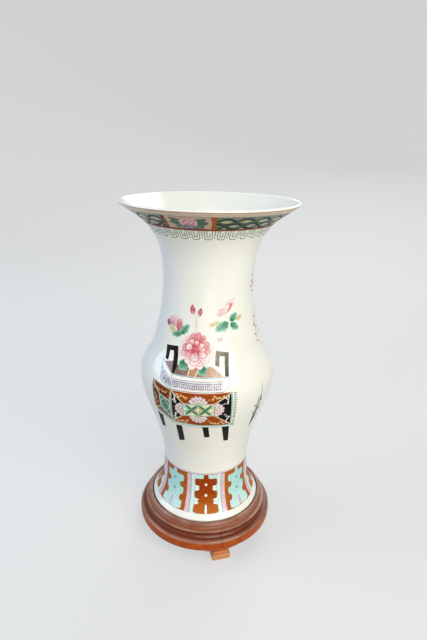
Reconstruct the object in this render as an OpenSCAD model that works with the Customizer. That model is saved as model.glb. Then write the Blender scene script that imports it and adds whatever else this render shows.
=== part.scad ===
// Yen yen vase: a tall porcelain vase with a trumpet mouth and a round belly, on a round wood stand.
// Millimetres, +Z up. The origin is on the floor, at the centre of the stand. The front faces -Y.
// Turns are counted about Z from the front towards +X.

/* [Vase] */
// Height of the vase; the lower neck takes up what the other heights leave
vase_h = 442; // [425:1:470]
// Thickness of the lip
lip_t = 3.6; // [3:0.1:5]
// Thickness of the wall at the foot, thinning evenly to the lip
foot_wall = 6.5; // [5:0.1:8]

/* [Vase foot] */
// Radius of the foot edge
foot_r = 80; // [72:0.5:90]
// Height of the upright foot edge
foot_edge_h = 3; // [2:0.5:6]
// Bevel under the foot edge
foot_bevel = 1; // [0.5:0.1:1.5]
// Width of the bare foot ring that stands on the seat
foot_ring_w = 7; // [5:0.5:9]
// Height of the flare, from the foot edge up to the waist
foot_flare_h = 61; // [50:1:75]
// Rise of radius per millimetre of height where the flare leaves the foot edge
foot_slope = -0.85; // [-1:0.05:-0.6]
// Height of the hollow under the base
base_recess_h = 9; // [6:0.5:12]
// Thickness of the base
base_t = 8; // [6:0.5:12]
// Inner round where the wall meets the base
base_round = 12; // [8:1:16]

/* [Vase body] */
// Radius of the waist above the foot
waist_r = 62.5; // [56:0.5:68]
// Height from the waist to the middle of the swell
swell_h = 76; // [60:1:90]
// Radius at the middle of the swell
swell_r = 77; // [70:0.5:84]
// Rise of radius per millimetre of height at the middle of the swell
swell_slope = 0.34; // [0.2:0.01:0.45]
// Height from the middle of the swell to the widest line of the belly
belly_h = 68; // [55:1:80]
// Radius of the belly
belly_r = 94.5; // [88:0.5:104]
// Height from the belly to the fall of the shoulder
shoulder_h = 32; // [26:1:40]
// Radius at the fall of the shoulder
shoulder_r = 82.4; // [78:0.2:86]
// Rise of radius per millimetre of height at the shoulder
shoulder_slope = -0.64; // [-0.8:0.01:-0.45]
// Height from the shoulder to the root of the neck
collar_h = 22; // [18:1:30]
// Radius at the root of the neck
collar_r = 72.8; // [68:0.2:76]
// Rise of radius per millimetre of height at the root of the neck
collar_slope = -0.245; // [-0.35:0.005:-0.15]

/* [Vase neck] */
// Least radius of the neck, where it is narrowest
neck_r = 61.2; // [55:0.2:66]
// Height from the narrowest line to the throat
throat_h = 72; // [60:1:85]
// Radius at the throat, where the mouth begins to open
throat_r = 78.4; // [72:0.2:84]
// Rise of radius per millimetre of height at the throat
throat_slope = 0.7; // [0.5:0.01:0.9]
// Height from the throat to the top of the mouth
mouth_h = 32; // [26:1:42]
// Radius of the mouth over its rounded lip
mouth_r = 115.5; // [106:0.5:125]
// Rise of radius per millimetre of height just under the lip
mouth_slope = 1.43; // [1.1:0.01:1.7]

/* [Stand top] */
// Gap all round between the foot edge and the rim
seat_gap = 2.4; // [1.5:0.1:4]
// Thickness of the seat board
board_t = 7.5; // [6:0.1:10]
// Thickness of the tongue round the seat board
board_tongue_t = 4; // [3:0.1:5]
// Reach of the tongue into the rim
board_tongue_w = 2.2; // [1.6:0.1:2.6]
// Width of the rim
rim_w = 6; // [5.5:0.1:8]
// Height of the rim above the seat
rim_rise = 2.5; // [1.5:0.1:4]
// Round on the inner edge of the rim
rim_edge_round = 0.8; // [0.4:0.1:1.2]
// Flat on top of the rim
rim_flat_w = 0.5; // [0.2:0.1:1]
// Upright edge at the bottom of the rim
rim_edge_h = 2.4; // [1.5:0.1:3]
// Width of the lower bead of the rim
low_bead_w = 1.8; // [1.2:0.1:2.4]
// Height of the lower bead of the rim
low_bead_h = 2.8; // [2:0.1:3.2]
// Depth of the line cut between the two beads of the rim
bead_line_d = 0.6; // [0.3:0.1:0.9]

/* [Stand apron] */
// Height of the apron
apron_h = 25; // [22:0.5:32]
// Width of the ledge on the apron that carries the rim and the board
apron_ledge_w = 14; // [12:0.5:18]
// Step from the rim out to the sharp arris of the apron
arris_step = 3.6; // [2:0.1:5]
// Height of the arris edge
arris_h = 1.2; // [0.8:0.1:2]
// Height of the hollow moulding under the arris
hollow_h = 8.4; // [6:0.1:10]
// Depth of the hollow moulding
hollow_d = 1.8; // [1:0.1:3]
// Step from the arris out to the side of the torus
torus_step = 8.6; // [6:0.1:11]
// Upper round of the torus
torus_round = 6.5; // [4:0.1:8]
// Lower round of the torus
torus_under_round = 2.2; // [1:0.1:4]

/* [Stand feet] */
// Turn of the front foot from the front
foot_turn = 16; // [0:1:45]
// Height of a foot
stand_foot_h = 22.5; // [18:0.5:30]
// Width of the wings under the apron
wing_w = 48; // [40:1:60]
// Thickness of a wing's tip
wing_t = 4.5; // [3:0.1:6]
// Width of a foot's ankle
ankle_w = 20; // [16:0.5:24]
// Setback of the foot's knee from the side of the torus
knee_setback = 3; // [2:0.5:6]
// Depth of the foot at the knee
knee_d = 19; // [16:0.5:22]
// Setback of the ankle from the knee
ankle_setback = 6; // [3:0.5:8]
// Width of the toe
toe_w = 26; // [24:0.5:32]
// Height of the toe
toe_h = 8.5; // [6:0.1:12]
// Step from the ankle out to the toe's face
toe_step = 4; // [2:0.1:6]

/* [Stand joints] */
// Clearance of a glued joint, all round
glue_gap = 0.1; // [0.05:0.01:0.2]
// Width of a foot's tenon, along the ring
tenon_w = 14; // [10:0.5:16]
// Depth of a foot's tenon, across the ring
tenon_d = 8; // [6:0.5:10]
// Height of a foot's tenon
tenon_h = 10; // [8:0.5:11]
// Length of a loose tongue between two apron segments
tongue_l = 20; // [14:0.5:26]
// Thickness of a loose tongue
tongue_t = 4; // [3:0.1:5]
// Depth of a loose tongue, across the ring
tongue_d = 9; // [7:0.5:11]
// Cover of wood over a loose tongue
tongue_cover = 5; // [4:0.1:6]
// Radius of a peg between the rim and the apron
peg_r = 1.1; // [0.9:0.05:1.2]
// Reach of a peg into the rim
peg_up = 3; // [2:0.1:3.4]
// Reach of a peg into the apron
peg_down = 8; // [5:0.1:11]

/* [Hidden] */

$fn = 96;
// Height of one strip of a lathe profile
strip_h = 4;
// Steps of a rounded edge
round_steps = 8;
// A right angle, and the turn from one foot of the stand to the next
quarter = 90;
sides = 3;
side_turn = 4 * quarter / sides;
// Overlap that joins two solids of one piece
weld = 0.5;

glaze_white = "#ECE7D6";
rim_brown = "#8A4B30";
torus_brown = "#A5552E";
board_brown = "#6B3A26";
bamboo = "#C9A266";

// Heights in the stand, from the floor
rim_z = stand_foot_h + apron_h;
seat_z = rim_z + board_t;
rim_top_z = seat_z + rim_rise;
tongue_top_z = rim_z + board_tongue_t;
torus_top_z = rim_z - arris_h - hollow_h;

// Radii in the stand
seat_r = foot_r + seat_gap;
rim_r = seat_r + rim_w;
groove_r = seat_r + board_tongue_w;
arris_r = rim_r + arris_step;
torus_r = arris_r + torus_step;
apron_in_r = rim_r - apron_ledge_w;
peg_ring_r = (groove_r + rim_r) / 2;
knee_r = torus_r - knee_setback;
ankle_r = knee_r - ankle_setback;
toe_r = ankle_r + toe_step;
foot_in_r = knee_r - knee_d;
tenon_ring_r = knee_r - knee_d / 2;
tongue_ring_r = (apron_in_r + arris_r - hollow_d) / 2;

// Lines of the vase profile, as [height above the seat, radius, slope], from the foot up
lip_r = lip_t / 2;
lip_lean = atan(mouth_slope);
waist_z = foot_edge_h + foot_flare_h;
swell_z = waist_z + swell_h;
belly_z = swell_z + belly_h;
shoulder_z = belly_z + shoulder_h;
collar_z = shoulder_z + collar_h;
throat_z = vase_h - mouth_h;
neck_z = throat_z - throat_h;
lip_centre = [mouth_r - lip_r, vase_h - lip_r];
lip_out = lip_centre + lip_r * [cos(lip_lean), -sin(lip_lean)];
lip_in = lip_centre - lip_r * [cos(lip_lean), -sin(lip_lean)];
lines = [
    [foot_edge_h, foot_r, foot_slope],
    [waist_z, waist_r, 0],
    [swell_z, swell_r, swell_slope],
    [belly_z, belly_r, 0],
    [shoulder_z, shoulder_r, shoulder_slope],
    [collar_z, collar_r, collar_slope],
    [neck_z, neck_r, 0],
    [throat_z, throat_r, throat_slope],
    [lip_out[1], lip_out[0], mouth_slope]
];
floor_z = base_recess_h + base_t;

// Index of the profile's span that holds height z
function span(z, i = 0) = i == len(lines) - 2 || z <= lines[i + 1][0] ? i : span(z, i + 1);

// Cubic that leaves line a and meets line b at their own radii and slopes
function cubic(a, b, z) =
    let (h = b[0] - a[0], t = (z - a[0]) / h, u = 1 - t)
    u * u * (1 + 2 * t) * a[1] + t * t * (1 + 2 * u) * b[1] + h * t * u * (u * a[2] - t * b[2]);

// Slope of that cubic
function cubic_slope(a, b, z) =
    let (h = b[0] - a[0], t = (z - a[0]) / h, u = 1 - t)
    6 * t * u * (b[1] - a[1]) / h + u * (1 - 3 * t) * a[2] + t * (1 - 3 * u) * b[2];

// Outer radius and slope of the vase at a height above the seat, straight above the last line
function outer_r(z) =
    let (i = span(z))
    z > lip_out[1] ? lip_out[0] + mouth_slope * (z - lip_out[1]) : cubic(lines[i], lines[i + 1], z);
function outer_slope(z) =
    let (i = span(z))
    z > lip_out[1] ? mouth_slope : cubic_slope(lines[i], lines[i + 1], z);

// Wall of the vase, square to its surface, and the inner radius that it leaves
function wall_at(z) = foot_wall + (lip_t - foot_wall) * min(1, z / lip_out[1]);
function inner_r(z) = outer_r(z) - wall_at(z) * sqrt(1 + pow(outer_slope(z), 2));

// Even steps from one height to another
function steps(from, to) =
    let (n = ceil(abs(to - from) / strip_h))
    [for (i = [0 : n]) from + (to - from) * i / n];

function outer_line(from, to) = [for (z = steps(from, to)) [outer_r(z), z]];
function inner_line(from, to) = [for (z = steps(from, to)) [inner_r(z), z]];

// Part of an ellipse about a centre, with its two half widths
function arc(centre, half, from, to) =
    [for (i = [0 : round_steps])
        let (a = from + (to - from) * i / round_steps)
        centre + [half[0] * cos(a), half[1] * sin(a)]];

// Part of a circle
function round_arc(centre, r, from, to) = arc(centre, [r, r], from, to);

// Solid of revolution that stands on the seat
module thrown(profile) {
    translate([0, 0, seat_z]) rotate_extrude() polygon(profile);
}

// Segment of a ring from one side to the next, starting at a turn from the front
module ring_segment(turn, profile) {
    rotate(turn - quarter) rotate_extrude(angle = side_turn) polygon(profile);
}

// Block across a radius, with its middle on the front
module ring_block(size, ring_r, z) {
    translate([-size[0] / 2, -ring_r - size[1] / 2, z]) cube(size);
}

// Vase, thrown in three sections that are luted together with slip

module vase_neck() {
    color(glaze_white) thrown(concat(
        outer_line(collar_z, lip_out[1]),
        round_arc(lip_centre, lip_r, -lip_lean, 2 * quarter - lip_lean),
        inner_line(lip_in[1], collar_z)
    ));
}

module vase_belly() {
    color(glaze_white) thrown(concat(
        outer_line(waist_z, collar_z),
        inner_line(collar_z, waist_z)
    ));
}

module vase_foot() {
    round_z = floor_z + base_round;
    ring_in_r = foot_r - foot_bevel - foot_ring_w;
    recess_r = ring_in_r - foot_bevel;
    color(glaze_white) thrown(concat(
        [[foot_r - foot_bevel, 0], [foot_r, foot_bevel]],
        outer_line(foot_edge_h, waist_z),
        inner_line(waist_z, round_z),
        round_arc([inner_r(round_z) - base_round, round_z], base_round, 0, -quarter),
        [[0, floor_z], [0, base_recess_h], [recess_r, base_recess_h], [recess_r, foot_bevel], [ring_in_r, 0]]
    ));
}

// Stand, joined from turned segments

module seat_board() {
    color(board_brown) {
        translate([0, 0, rim_z]) cylinder(r = groove_r - glue_gap, h = board_tongue_t - glue_gap);
        translate([0, 0, rim_z]) cylinder(r = seat_r - glue_gap, h = board_t);
    }
}

// Peg at one of its places round the ring, longer and wider by a clearance
module peg(turn, gap = 0) {
    rotate(turn) translate([0, -peg_ring_r, rim_z - peg_down - gap])
        cylinder(r = peg_r + gap, h = peg_down + peg_up + 2 * gap, $fn = 24);
}

// Two pegs hold each segment of the rim
function peg_turns(middle) = [for (side = [-1, 1]) middle + side * side_turn / 4];

module rim_segment(side) {
    middle = foot_turn + side_turn * side;
    edge_r = seat_r + rim_edge_round;
    top_r = edge_r + rim_flat_w;
    low_r = rim_r - low_bead_w;
    low_z = rim_z + rim_edge_h;
    line_r = low_r + bead_line_d;
    line_z = low_z + low_bead_h + bead_line_d;
    color(rim_brown) difference() {
        ring_segment(middle - side_turn / 2, concat(
            [[groove_r, rim_z], [rim_r, rim_z]],
            arc([low_r, low_z], [low_bead_w, low_bead_h], 0, quarter),
            arc([top_r, line_z], [line_r - top_r, rim_top_z - line_z], 0, quarter),
            round_arc([edge_r, rim_top_z - rim_edge_round], rim_edge_round, quarter, 2 * quarter),
            [[seat_r, tongue_top_z], [groove_r, tongue_top_z]]
        ));
        for (turn = peg_turns(middle)) peg(turn, glue_gap);
    }
}

// Foot's tenon and loose tongue, which cross the joint of two apron segments
module tenon(gap = 0) {
    ring_block([tenon_w + 2 * gap, tenon_d + 2 * gap, tenon_h + weld + gap], tenon_ring_r, stand_foot_h - weld);
}

module tongue(gap = 0) {
    size = [tongue_l, tongue_d, tongue_t] + 2 * gap * [1, 1, 1];
    ring_block(size, tongue_ring_r, rim_z - tongue_cover - tongue_t - gap);
}

module apron_segment(side) {
    start = foot_turn + side_turn * side;
    under = torus_under_round;
    hollow_top_z = rim_z - arris_h;
    hollow = [for (i = [0 : round_steps]) let (t = i / round_steps)
        [arris_r - hollow_d * sin(2 * quarter * t), hollow_top_z - hollow_h * t]];
    color(torus_brown) difference() {
        ring_segment(start, concat(
            [[apron_in_r, rim_z], [arris_r, rim_z]],
            hollow,
            round_arc([torus_r - torus_round, torus_top_z - torus_round], torus_round, quarter, 0),
            round_arc([torus_r - under, stand_foot_h + under], under, 0, -quarter),
            [[apron_in_r, stand_foot_h]]
        ));
        for (turn = [start, start + side_turn]) rotate(turn) {
            tenon(glue_gap);
            tongue(glue_gap);
        }
        for (turn = peg_turns(start + side_turn / 2)) peg(turn, glue_gap);
    }
}

// Outline of a bracket foot seen from outside: wings, and hollow curves down to the ankle
module bracket_outline() {
    ankle_x = ankle_w / 2;
    wing_x = wing_w / 2;
    right = concat(
        [[ankle_x, 0]],
        arc([wing_x, toe_h], [wing_x - ankle_x, stand_foot_h - wing_t - toe_h], 2 * quarter, quarter),
        [[wing_x, stand_foot_h]]
    );
    left = [for (i = [len(right) - 1 : -1 : 0]) [-right[i][0], right[i][1]]];
    polygon(concat(right, left));
}

// Face of a foot in side view, sweeping in from the knee to the ankle
function foot_face() =
    [for (i = [0 : round_steps])
        let (t = i / round_steps)
        [ankle_r + ankle_setback * (1 + cos(2 * quarter * t)) / 2, stand_foot_h + (toe_h - stand_foot_h) * t]];

module foot(side) {
    toe_d = toe_r - foot_in_r;
    color(torus_brown) rotate(foot_turn + side_turn * side) {
        intersection() {
            translate([0, -foot_in_r, 0]) rotate([quarter, 0, 0]) linear_extrude(knee_d) bracket_outline();
            rotate_extrude() polygon(concat([[0, stand_foot_h]], foot_face(), [[ankle_r, 0], [0, 0]]));
        }
        ring_block([toe_w, toe_d, toe_h], toe_r - toe_d / 2, 0);
        tenon();
    }
}

module apron_tongues() {
    color(bamboo) for (side = [0 : sides - 1]) rotate(foot_turn + side_turn * side) tongue();
}

module rim_pegs() {
    color(bamboo) for (side = [0 : sides - 1]) for (turn = peg_turns(foot_turn + side_turn * side)) peg(turn);
}

vase_neck();
vase_belly();
vase_foot();
seat_board();
rim_segment(0);  // rim_front
rim_segment(1);  // rim_back_right
rim_segment(2);  // rim_back_left
apron_segment(0);  // apron_right
apron_segment(1);  // apron_back
apron_segment(2);  // apron_left
foot(0);  // foot_front
foot(1);  // foot_back_right
foot(2);  // foot_back_left
apron_tongues();
rim_pegs();
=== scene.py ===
"""Looks of a yen yen vase on its wood stand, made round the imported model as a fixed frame.

Painted shapes are drawn flat, in millimetres: x runs to the right from the front of the vase, as on a wall
of radius DRAW_R, and z runs up from the seat. They are then wrapped on the wall of the vase. A tint runs from
0, where an enamel lies thick, to 1, where it lies thin.
"""

import math

import bmesh
import bpy
import numpy as np
from bpy.props import FloatProperty, FloatVectorProperty, PointerProperty
from mathutils import Euler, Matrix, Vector
from mathutils.geometry import delaunay_2d_cdt


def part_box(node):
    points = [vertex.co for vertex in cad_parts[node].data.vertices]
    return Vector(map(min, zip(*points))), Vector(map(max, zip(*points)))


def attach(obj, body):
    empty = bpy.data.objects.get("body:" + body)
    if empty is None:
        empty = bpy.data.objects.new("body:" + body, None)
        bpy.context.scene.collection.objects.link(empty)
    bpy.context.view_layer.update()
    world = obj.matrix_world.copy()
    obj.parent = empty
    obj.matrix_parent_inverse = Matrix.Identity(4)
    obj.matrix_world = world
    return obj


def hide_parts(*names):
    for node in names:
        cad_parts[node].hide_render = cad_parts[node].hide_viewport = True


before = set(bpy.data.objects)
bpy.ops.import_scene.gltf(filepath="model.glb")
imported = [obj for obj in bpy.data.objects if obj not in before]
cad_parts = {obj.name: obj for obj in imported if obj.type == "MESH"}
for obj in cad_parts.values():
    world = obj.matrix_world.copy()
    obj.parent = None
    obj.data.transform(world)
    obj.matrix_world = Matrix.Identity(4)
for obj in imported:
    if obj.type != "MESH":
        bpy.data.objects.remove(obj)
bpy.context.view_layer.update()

bl_info = {
    "name": "Yen yen vase",
    "version": (1, 0, 0),
    "blender": (4, 5, 0),
    "location": "3D View > Sidebar > Vase",
    "description": "Makes the glaze, the painted enamels and the wood of a yen yen vase on its stand",
    "category": "Object",
}

MM = 0.001
# In metres: height of the seat, and the distances under which two points are one and an edge is none.
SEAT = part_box("vase_foot")[0].z
MERGE = 1e-6
SLIVER = 1e-7
# In millimetres: radius of the wall that shapes are drawn for, its full turn, spacing of painted points, how
# far those inside a shape stay from its edge, when two are one, and the smallest length and area.
DRAW_R = 85.0
TURN_MM = math.tau * DRAW_R
PAINT_STEP = 1.6
PAINT_EDGE = 0.72
PAINT_MERGE = 1e-5
TINY = 1e-9
# A brush line keeps its width in a corner, which is drawn wider by up to 1 / MITRE.
MITRE = 0.6
# Sides of a full turn of the vase and of a segment of the stand, and the folds that stay sharp in shading.
VASE_SIDES = 256
SEGMENT_SIDES = 120
SHARP_FORM = math.radians(32)
SHARP_PAINT = math.radians(40)


def linear(code):
    """Linear colour of an sRGB hex value."""
    parts = [int(code[i:i + 2], 16) / 255 for i in (1, 3, 5)]
    return (*(c / 12.92 if c <= 0.04045 else ((c + 0.055) / 1.055) ** 2.4 for c in parts), 1.0)


def size(label, mm, text):
    """Property that holds a length, given in millimetres."""
    return FloatProperty(name=label, description=text, default=mm * MM, unit="LENGTH", precision=4)


def colour(label, code, text):
    """Property that holds a colour, given as an sRGB hex value."""
    return FloatVectorProperty(
        name=label, description=text, default=linear(code), size=4, subtype="COLOR", min=0, max=1)


def in_mm(group):
    """Sizes of a property group in millimetres, by name."""
    return {name: getattr(group, name) / MM for name in group.__annotations__}


class VaseForm(bpy.types.PropertyGroup):
    """Sizes of the vase. Heights are above the seat."""

    height: size("Height", (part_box("vase_neck")[1].z - SEAT) / MM, "Height of the vase")
    mouth_r: size("Mouth", 115.5, "Radius of the mouth over its rounded lip")
    lip_t: size("Lip", 3.6, "Thickness of the lip")
    throat_h: size("Throat height", 410, "Height where the mouth begins to open")
    throat_r: size("Throat", 78.4, "Radius where the mouth begins to open")
    neck_h: size("Neck height", 338, "Height of the narrowest line of the neck")
    neck_r: size("Neck", 61.2, "Radius of the narrowest line of the neck")
    collar_h: size("Collar height", (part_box("vase_neck")[0].z - SEAT) / MM, "Height of the root of the neck")
    collar_r: size("Collar", 72.8, "Radius at the root of the neck")
    shoulder_h: size("Shoulder height", 240, "Height of the fall of the shoulder")
    shoulder_r: size("Shoulder", 82.4, "Radius at the fall of the shoulder")
    belly_h: size("Belly height", 208, "Height of the widest line of the belly")
    belly_r: size("Belly", 94.5, "Radius of the belly")
    swell_h: size("Swell height", 140, "Height of the middle of the swell")
    swell_r: size("Swell", 77, "Radius at the middle of the swell")
    waist_h: size("Waist height", (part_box("vase_belly")[0].z - SEAT) / MM, "Height of the waist")
    waist_r: size("Waist", 62.5, "Radius of the waist")
    foot_edge_h: size("Foot edge", 3, "Height of the upright foot edge")
    foot_r: size("Foot", 80, "Radius of the foot edge")
    foot_bevel: size("Foot bevel", 1, "Bevel under the foot edge")
    foot_wall: size("Foot wall", 6.5, "Thickness of the wall at the foot")
    ring_w: size("Foot ring", 7, "Width of the bare foot ring")
    recess_h: size("Base hollow", 9, "Height of the hollow under the base")
    base_t: size("Base", 8, "Thickness of the base")
    base_round: size("Base round", 12, "Round where the wall meets the base")


class StandForm(bpy.types.PropertyGroup):
    """Sizes of the stand. Heights are above the floor."""

    seat_r: size("Seat", 82.4, "Radius of the recess for the vase")
    rim_r: size("Rim", 88.4, "Outer radius of the rim")
    groove_r: size("Groove", 84.6, "Radius of the groove for the seat board")
    groove_top_h: size("Groove top", 51.5, "Height of the top of that groove")
    rim_top_h: size("Rim top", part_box("rim_front")[1].z / MM, "Height of the top of the rim")
    rim_h: size("Rim foot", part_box("rim_front")[0].z / MM, "Height of the foot of the rim")
    rim_edge_h: size("Rim edge", 2.4, "Upright edge at the foot of the rim")
    low_bead_w: size("Low bead width", 1.8, "Width of the lower bead of the rim")
    low_bead_h: size("Low bead height", 2.8, "Height of the lower bead of the rim")
    bead_line: size("Bead line", 0.6, "Depth of the line between the two beads")
    edge_round: size("Edge round", 0.8, "Round on the inner edge of the rim")
    rim_flat_w: size("Rim flat", 0.5, "Flat on top of the rim")
    apron_in_r: size("Apron inside", 74.4, "Inner radius of the apron")
    apron_h: size("Apron foot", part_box("apron_right")[0].z / MM, "Height of the underside of the apron")
    arris_r: size("Arris", 92, "Radius of the sharp edge over the hollow")
    arris_h: size("Arris edge", 1.2, "Height of that edge")
    arris_ease: size("Arris ease", 0.3, "Easing of that edge")
    hollow_h: size("Hollow height", 8.4, "Height of the hollow moulding")
    hollow_d: size("Hollow depth", 1.8, "Depth of the hollow moulding")
    torus_r: size("Torus", 100.6, "Outer radius of the torus")
    torus_round: size("Torus round", 6.5, "Upper round of the torus")
    under_round: size("Under round", 2.2, "Lower round of the torus")
    seam_groove: size("Seam", 0.45, "Wear along the joints of the wood")
    foot_ease: size("Foot ease", 0.6, "Easing of the edges of the feet")


# Overglaze enamels: label, colours where they lie thick and thin, roughness, width in millimetres of their
# pools and streaks, and specular level. Iron red and black are dry pigments that shine less than the glassy
# colours.
ENAMELS = {
    # Lip brown is also laid as painted shade under the flare of the lip.
    "lip_brown": ("Lip brown", "#B98A66", "#E2D0B6", 0.25, 3.0, 0.5),
    "iron_red": ("Iron red", "#963A00", "#CE7E28", 0.4, 3.0, 0.12),
    "turquoise": ("Turquoise", "#AEE2DE", "#E2F6F3", 0.16, 5.0, 0.5),
    "pink": ("Opaque pink", "#C793AA", "#F7E9EA", 0.2, 4.0, 0.5),
    "lilac": ("Lilac", "#5E586E", "#EFECF3", 0.2, 5.0, 0.5),
    "rose": ("Rose", "#C02C5C", "#FDEBE9", 0.18, 2.0, 0.5),
    "coral": ("Coral pink", "#CF3E4E", "#FDEFEC", 0.18, 2.0, 0.5),
    "emerald": ("Emerald", "#0E6A48", "#9ADDBE", 0.12, 3.0, 0.4),
    "leaf_yellow": ("Leaf yellow", "#B9A94E", "#EFE8BE", 0.14, 3.0, 0.5),
    "gold": ("Ochre", "#C98F3C", "#F0D9A0", 0.3, 2.0, 0.4),
    "black": ("Black", "#080605", "#4A423A", 0.4, 3.0, 0.08),
    "ink": ("Ink wash", "#2C2822", "#A89F8C", 0.3, 4.0, 0.3),
    "mauve": ("Mauve brown", "#7F5B52", "#C4A99B", 0.22, 3.0, 0.4),
    "white": ("Opaque white", "#F2EEE4", "#FBF9F3", 0.16, 4.0, 0.5),
    "fret_green": ("Grey green", "#4E7A52", "#93B79B", 0.18, 3.0, 0.5)}


class Finishes(bpy.types.PropertyGroup):
    """Colours of the glaze, the wood, the floor and, from the table above, the enamels."""

    glaze: colour("Glaze", "#F6F5E7", "Cream white of the glaze")
    glaze_cool: colour("Thin glaze", "#EFF3EF", "Cooler white where the glaze lies thin")
    biscuit: colour("Biscuit", "#D8C3A4", "Bare fired clay of the foot ring")
    wood_dark: colour("Wood grain", "#34140A", "Dark grain of the wood")
    wood_brown: colour("Wood", "#7A3416", "Body of the wood")
    # The orange of the torus is also laid as painted light on its lower round.
    wood_orange: colour("Polished wood", "#BC540C", "Orange of the polished torus")
    # The bright orange of the feet stands partly as painted light on their toes.
    wood_toe: colour("Foot wood", "#EC9A58", "Bright orange of the feet")
    # The worn grey is also laid as painted highlight and sheen on the rim, the apron and the toes.
    wood_worn_and_highlight: colour("Worn wood", "#C29A80", "Greyed wood where the lacquer has worn")
    bamboo: colour("Bamboo", "#C9A266", "Bare bamboo of pegs and tongues")
    floor: colour("Floor", "#8E8F8F", "Pale floor")


Finishes.__annotations__.update(
    (name + end, colour(f"{label}, {lies}", code, f"{label} where it lies {lies}"))
    for name, (label, thick, thin, *_) in ENAMELS.items()
    for end, code, lies in (("", thick, "thick"), ("_thin", thin, "thin")))


def feed(tree, made, inputs):
    """Gives a node its inputs: a plain value, or the output that is linked to it."""
    for key, value in dict(inputs).items():
        if isinstance(value, bpy.types.NodeSocket):
            tree.links.new(value, made.inputs[key])
        else:
            made.inputs[key].default_value = value


def node(tree, kind, settings=(), inputs=()):
    """Adds a node with its settings and its inputs."""
    made = tree.nodes.new(kind)
    for key, value in dict(settings).items():
        setattr(made, key, value)
    feed(tree, made, inputs)
    return made


def new_tree(name, inputs):
    """Geometry tree with inputs, given as (name, socket type, default), and the outputs that give them."""
    tree = bpy.data.node_groups.new(name, "GeometryNodeTree")
    tree.is_modifier = True
    for label, kind, value in inputs:
        made = tree.interface.new_socket(name=label, in_out="INPUT", socket_type=kind)
        if value is not None:
            made.default_value = value
    tree.interface.new_socket(name="Form", in_out="OUTPUT", socket_type="NodeSocketGeometry")
    return tree, node(tree, "NodeGroupInput").outputs


def end_tree(tree, form, material):
    """Closes a geometry tree with real faces that carry the material."""
    real = node(tree, "GeometryNodeRealizeInstances", (), {"Geometry": form})
    shaded = node(tree, "GeometryNodeSetShadeSmooth", (), {"Geometry": real.outputs[0]})
    dressed = node(tree, "GeometryNodeSetMaterial", (), {"Geometry": shaded.outputs[0], "Material": material})
    node(tree, "NodeGroupOutput", (), {0: dressed.outputs[0]})
    return tree


def turned_form(name):
    """Tree that turns a half-profile of points about the axis of the vase, from a start through a sweep."""
    tree, given = new_tree(name, (
        ("Profile", "NodeSocketGeometry", None),
        ("Points", "NodeSocketInt", 2),
        ("Segments", "NodeSocketInt", 64),
        ("Start", "NodeSocketFloat", 0.0),
        ("Sweep", "NodeSocketFloat", math.tau),
        ("Material", "NodeSocketMaterial", None)))
    known = {socket.name: socket for socket in given}
    known["index"] = node(tree, "GeometryNodeInputIndex").outputs[0]
    # Sums that lead from the index of a grid point to its column, its row in the profile and its turn
    for result, operation, *values in (
            ("columns", "ADD", "Segments", 1.0),
            ("middle", "ADD", "index", 0.5),
            ("passed", "DIVIDE", "middle", "Points"),
            ("column", "FLOOR", "passed"),
            ("before", "MULTIPLY", "column", "Points"),
            ("row", "SUBTRACT", "index", "before"),
            ("share", "DIVIDE", "column", "Segments"),
            ("turn", "MULTIPLY_ADD", "share", "Sweep", "Start"),
            ("right", "SINE", "turn"),
            ("front", "COSINE", "turn"),
            ("back", "MULTIPLY", "front", -1.0)):
        known[result] = node(tree, "ShaderNodeMath", {"operation": operation}, {
            i: known.get(value, value) for i, value in enumerate(values)}).outputs[0]
    grid = node(tree, "GeometryNodeMeshGrid", (), {
        "Vertices X": known["columns"], "Vertices Y": given["Points"]})
    spot = node(tree, "GeometryNodeSampleIndex", {"data_type": "FLOAT_VECTOR"}, {
        "Geometry": given["Profile"],
        "Value": node(tree, "GeometryNodeInputPosition").outputs[0],
        "Index": known["row"]})
    flat = node(tree, "ShaderNodeSeparateXYZ", (), {0: spot.outputs["Value"]}).outputs
    x, y = (
        node(tree, "ShaderNodeMath", {"operation": "MULTIPLY"}, {0: flat["X"], 1: known[way]}).outputs[0]
        for way in ("right", "back"))
    place = node(tree, "ShaderNodeCombineXYZ", (), {"X": x, "Y": y, "Z": flat["Z"]})
    form = node(tree, "GeometryNodeSetPosition", (), {
        "Geometry": grid.outputs["Mesh"], "Position": place.outputs[0]})
    closed = node(tree, "GeometryNodeMergeByDistance", (), {"Geometry": form.outputs[0], "Distance": MERGE})
    return end_tree(tree, closed.outputs[0], given["Material"])


def ring_repeat(name):
    """Tree that repeats a painted unit at even turns round the vase."""
    tree, given = new_tree(name, (
        ("Unit", "NodeSocketGeometry", None),
        ("Count", "NodeSocketInt", 1),
        ("Turn", "NodeSocketFloat", 0.0),
        ("Material", "NodeSocketMaterial", None)))
    step = node(tree, "ShaderNodeMath", {"operation": "DIVIDE"}, {0: math.tau, 1: given["Count"]})
    index = node(tree, "GeometryNodeInputIndex").outputs[0]
    turn = node(tree, "ShaderNodeMath", {"operation": "MULTIPLY_ADD"}, {
        0: index, 1: step.outputs[0], 2: given["Turn"]})
    points = node(tree, "GeometryNodePoints", (), {"Count": given["Count"]})
    axis = node(tree, "ShaderNodeCombineXYZ", (), {"Z": turn.outputs[0]})
    copies = node(tree, "GeometryNodeInstanceOnPoints", (), {
        "Points": points.outputs[0], "Instance": given["Unit"], "Rotation": axis.outputs[0]})
    return end_tree(tree, copies.outputs[0], given["Material"])


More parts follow.
